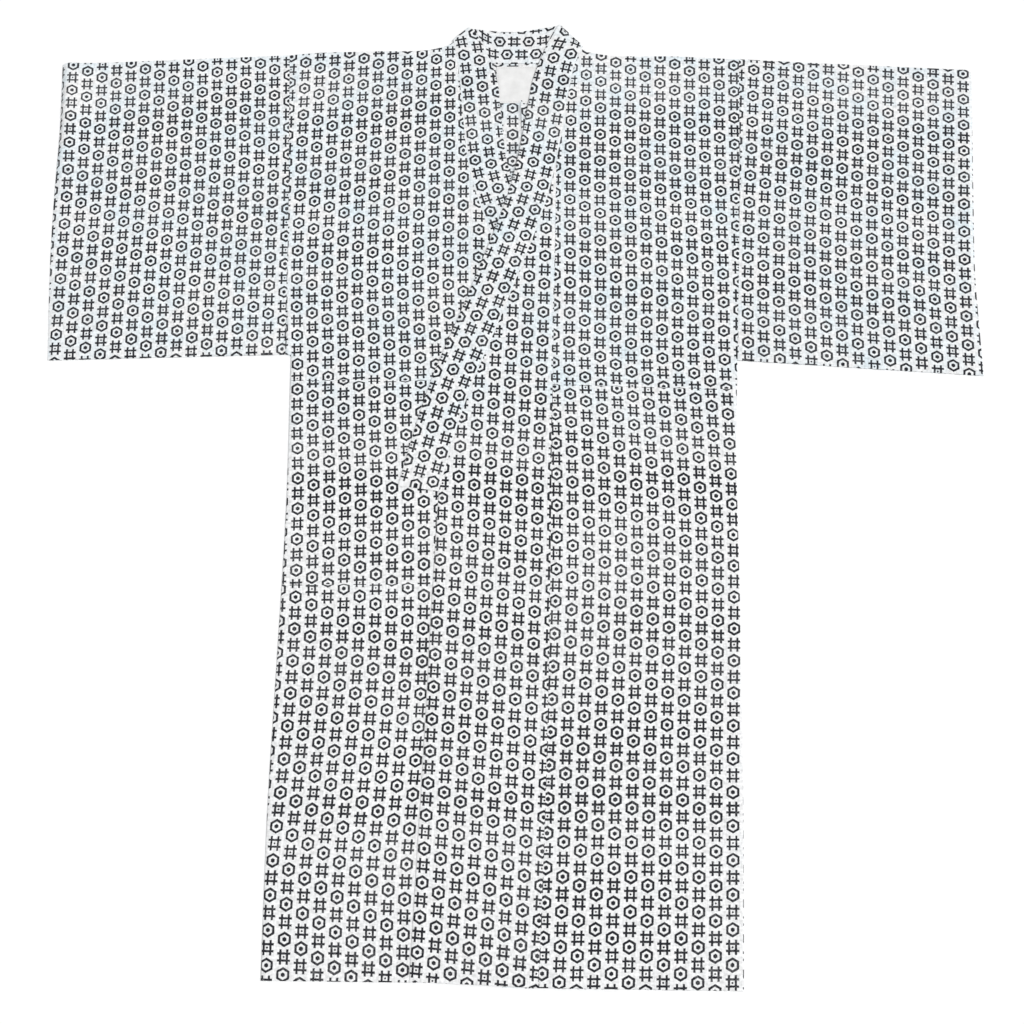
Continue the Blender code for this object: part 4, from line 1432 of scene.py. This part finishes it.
def printed_cotton(settings):
    """White plain-weave cotton with the dark repeat, paler on its wrong side."""
    known = bpy.data.materials.get("Printed cotton")
    if known:
        return known
    material, tree, shader, grain = cotton_material("Printed cotton")
    repeat = placed(
        tree, "Close repeat", repeat_group, Vector=grain, Pitch=settings.pitch,
        Hexagon=settings.hexagon, Crib=settings.crib, Line=settings.line,
    )
    tone = placed(
        tree, "Cloth tone", tone_group, Vector=grain, Ground=tuple(settings.ground),
        Cool=tuple(settings.cool_ground),
    )
    weave = placed(tree, "Plain weave", weave_group, Vector=grain, Thread=PRINTED_THREAD, Slub=0.5)
    height = Term(tree, weave["Height"])
    side = tree.nodes.new("ShaderNodeAttribute")
    side.attribute_name = "wrong_side"
    shown = 1.0 - Term(tree, side.outputs["Fac"]) * WRONG_SIDE_LOSS
    ink = Term(tree, repeat["Ink"]) * Term(tree, tone["Ink strength"]) * shown
    feed(tree, shader["Base Color"], mixed(tree, ink, tone["Colour"], tuple(settings.ink)))
    feed(tree, shader["Roughness"], 0.93 - height * 0.12)
    bumped(tree, shader, height, WEAVE_DEPTH, 0.35)
    return material


def plain_cotton(name, colour, thread, slub):
    """A plain woven cotton of one hue, with uneven yarn, a faintly mottled tone and painted shade where the
    weave lies low.
    """
    material, tree, shader, grain = cotton_material(name)
    weave = placed(tree, "Plain weave", weave_group, Vector=grain, Thread=thread, Slub=slub)
    height = Term(tree, weave["Height"])
    mottle = (noise(tree, grain, 75.0) - 0.35) * 2.4
    # Painted shade: the colour darkens where the weave's height is low, in the hollows between threads; the
    # mottle adds random tone.
    share = height * 0.4 + mottle * 0.75
    feed(tree, shader["Base Color"], mixed(tree, share, darkened(colour, 0.86), tuple(colour)))
    feed(tree, shader["Roughness"], 0.94 - height * 0.12)
    bumped(tree, shader, height, WEAVE_DEPTH, 0.4)
    return material


def twisted_thread(name, colour):
    """Cotton thread, twisted: slanting bands on object coordinates, with painted shade darkening the grooves
    between them.
    """
    material, tree, shader = new_material(name, 0.8)
    place = tree.nodes.new("ShaderNodeTexCoord")
    bands = tree.nodes.new("ShaderNodeTexWave")
    bands.bands_direction = "DIAGONAL"
    for input_name, value in (("Scale", 900.0), ("Distortion", 1.0), ("Vector", place.outputs["Object"])):
        feed(tree, bands.inputs[input_name], value)
    band = bands.outputs["Fac"]
    # Painted shade: the thread's colour darkens in the twist's grooves, where the bump is low.
    feed(tree, shader["Base Color"], mixed(tree, band, darkened(colour, 0.75), tuple(colour)))
    bumped(tree, shader, band, 0.00005, 0.5)
    return material


def floor_material(colour):
    """A pale even floor, with a faint grain."""
    material, tree, shader = new_material("Pale floor", 0.95)
    shader["Specular IOR Level"].default_value = 0.1
    place = tree.nodes.new("ShaderNodeTexCoord")
    spots = noise(tree, place.outputs["Object"], 6.0)
    feed(tree, shader["Base Color"], mixed(tree, spots, darkened(colour, 0.985), tuple(colour)))
    return material


# Operators

def make_both(make, context):
    """Makes one kind of panel for each half of the robe."""
    scene = context.scene
    for half in HALVES:
        make(half, scene.robe_cloth, printed_cotton(scene.robe_print))
    return {"FINISHED"}


class ROBE_OT_bodies(Operator):
    """Make the two body lengths, each over its shoulder and down the back"""

    bl_idname = "robe.bodies"
    bl_label = "Body lengths"

    def execute(self, context):
        return make_both(body, context)


class ROBE_OT_okumi(Operator):
    """Make the two narrow front panels"""

    bl_idname = "robe.okumi"
    bl_label = "Okumi panels"

    def execute(self, context):
        return make_both(okumi, context)


class ROBE_OT_sleeves(Operator):
    """Make the two sleeves"""

    bl_idname = "robe.sleeves"
    bl_label = "Sleeves"

    def execute(self, context):
        return make_both(sleeve, context)


class ROBE_OT_collar(Operator):
    """Make the folded collar band"""

    bl_idname = "robe.collar"
    bl_label = "Collar"

    def execute(self, context):
        scene = context.scene
        collar(LEFT, RIGHT, scene.robe_cloth, printed_cotton(scene.robe_print))
        return {"FINISHED"}


class ROBE_OT_label(Operator):
    """Make the blank neck label and the stitches round it"""

    bl_idname = "robe.label"
    bl_label = "Neck label"

    def execute(self, context):
        scene = context.scene
        colours = scene.robe_print
        neck_label(scene.robe_cloth, plain_cotton("Label cotton", colours.label, LABEL_THREAD, 0.4))
        label_stitches(scene.robe_cloth, twisted_thread("Sewing thread", colours.thread))
        return {"FINISHED"}


class ROBE_OT_stage(Operator):
    """Make the floor, the light and the camera"""

    bl_idname = "robe.stage"
    bl_label = "Floor, light and camera"

    def execute(self, context):
        scene = context.scene
        make_floor(scene.robe_stage)
        make_lights(scene, scene.robe_stage)
        make_camera(scene, scene.robe_stage)
        return {"FINISHED"}


def make_floor(settings):
    """A wide flat floor just under the robe."""
    reach = 12.0
    level = -0.0003
    turns = ((-1, -1), (1, -1), (1, 1), (-1, 1))
    corners = [(reach * x, reach * y, level) for x, y in turns]
    mesh = bpy.data.meshes.new("floor")
    mesh.from_pydata(corners, [], [(0, 1, 2, 3)])
    mesh.materials.append(floor_material(settings.floor))
    floor = new_object("floor", mesh)


def make_lights(scene, settings):
    """Even light from all sides and one broad light from above the wearer's left side."""
    world = bpy.data.worlds.new("Room")
    world.use_nodes = True
    background = world.node_tree.nodes["Background"]
    background.inputs["Color"].default_value = (1.0, 1.0, 1.0, 1.0)
    background.inputs["Strength"].default_value = settings.sky
    scene.world = world
    lamp = bpy.data.lights.new("Overhead", "SUN")
    lamp.energy = settings.lamp
    lamp.angle = settings.lamp_spread
    holder = new_object("Overhead", lamp)
    holder.rotation_euler = Vector(LAMP_FROM).to_track_quat("Z", "Y").to_euler()
    scene.view_settings.view_transform = "Standard"


def make_camera(scene, settings):
    """The camera at the photograph's angle, aimed at the middle of the robe."""
    lean = Vector((0.0, -np.sin(settings.tilt), np.cos(settings.tilt)))
    camera = bpy.data.cameras.new("Camera")
    camera.sensor_width = 36.0
    camera.lens = settings.lens
    holder = new_object("Camera", camera)
    holder.location = Vector(CAMERA_TARGET) + lean * settings.distance
    holder.rotation_euler = (settings.tilt, 0.0, 0.0)
    scene.camera = holder


class ROBE_PT_panel(Panel):
    """Lists the robe's pieces and their settings"""

    bl_idname = "ROBE_PT_panel"
    bl_label = "Cotton yukata robe"
    bl_space_type = "VIEW_3D"
    bl_region_type = "UI"
    bl_category = "Robe"

    def draw(self, context):
        layout = self.layout
        for operator in OPERATORS:
            layout.operator(operator.bl_idname)
        for settings in (context.scene.robe_cloth, context.scene.robe_print, context.scene.robe_stage):
            box = layout.box()
            for name in settings.__annotations__:
                box.prop(settings, name)


SETTINGS = (ClothSettings, PrintSettings, StageSettings)
OPERATORS = (
    ROBE_OT_bodies, ROBE_OT_okumi, ROBE_OT_sleeves, ROBE_OT_collar, ROBE_OT_label, ROBE_OT_stage,
)


def register():
    for each in (*SETTINGS, *OPERATORS, ROBE_PT_panel):
        bpy.utils.register_class(each)
    bpy.types.Scene.robe_cloth = PointerProperty(type=ClothSettings)
    bpy.types.Scene.robe_print = PointerProperty(type=PrintSettings)
    bpy.types.Scene.robe_stage = PointerProperty(type=StageSettings)


def unregister():
    del bpy.types.Scene.robe_cloth
    del bpy.types.Scene.robe_print
    del bpy.types.Scene.robe_stage
    for each in reversed((*SETTINGS, *OPERATORS, ROBE_PT_panel)):
        bpy.utils.unregister_class(each)


def main():
    register()
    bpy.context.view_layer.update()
    bpy.ops.robe.bodies()
    bpy.ops.robe.okumi()
    bpy.ops.robe.sleeves()
    bpy.ops.robe.collar()
    bpy.ops.robe.label()
    bpy.ops.robe.stage()


if __name__ == "__main__":
    main()
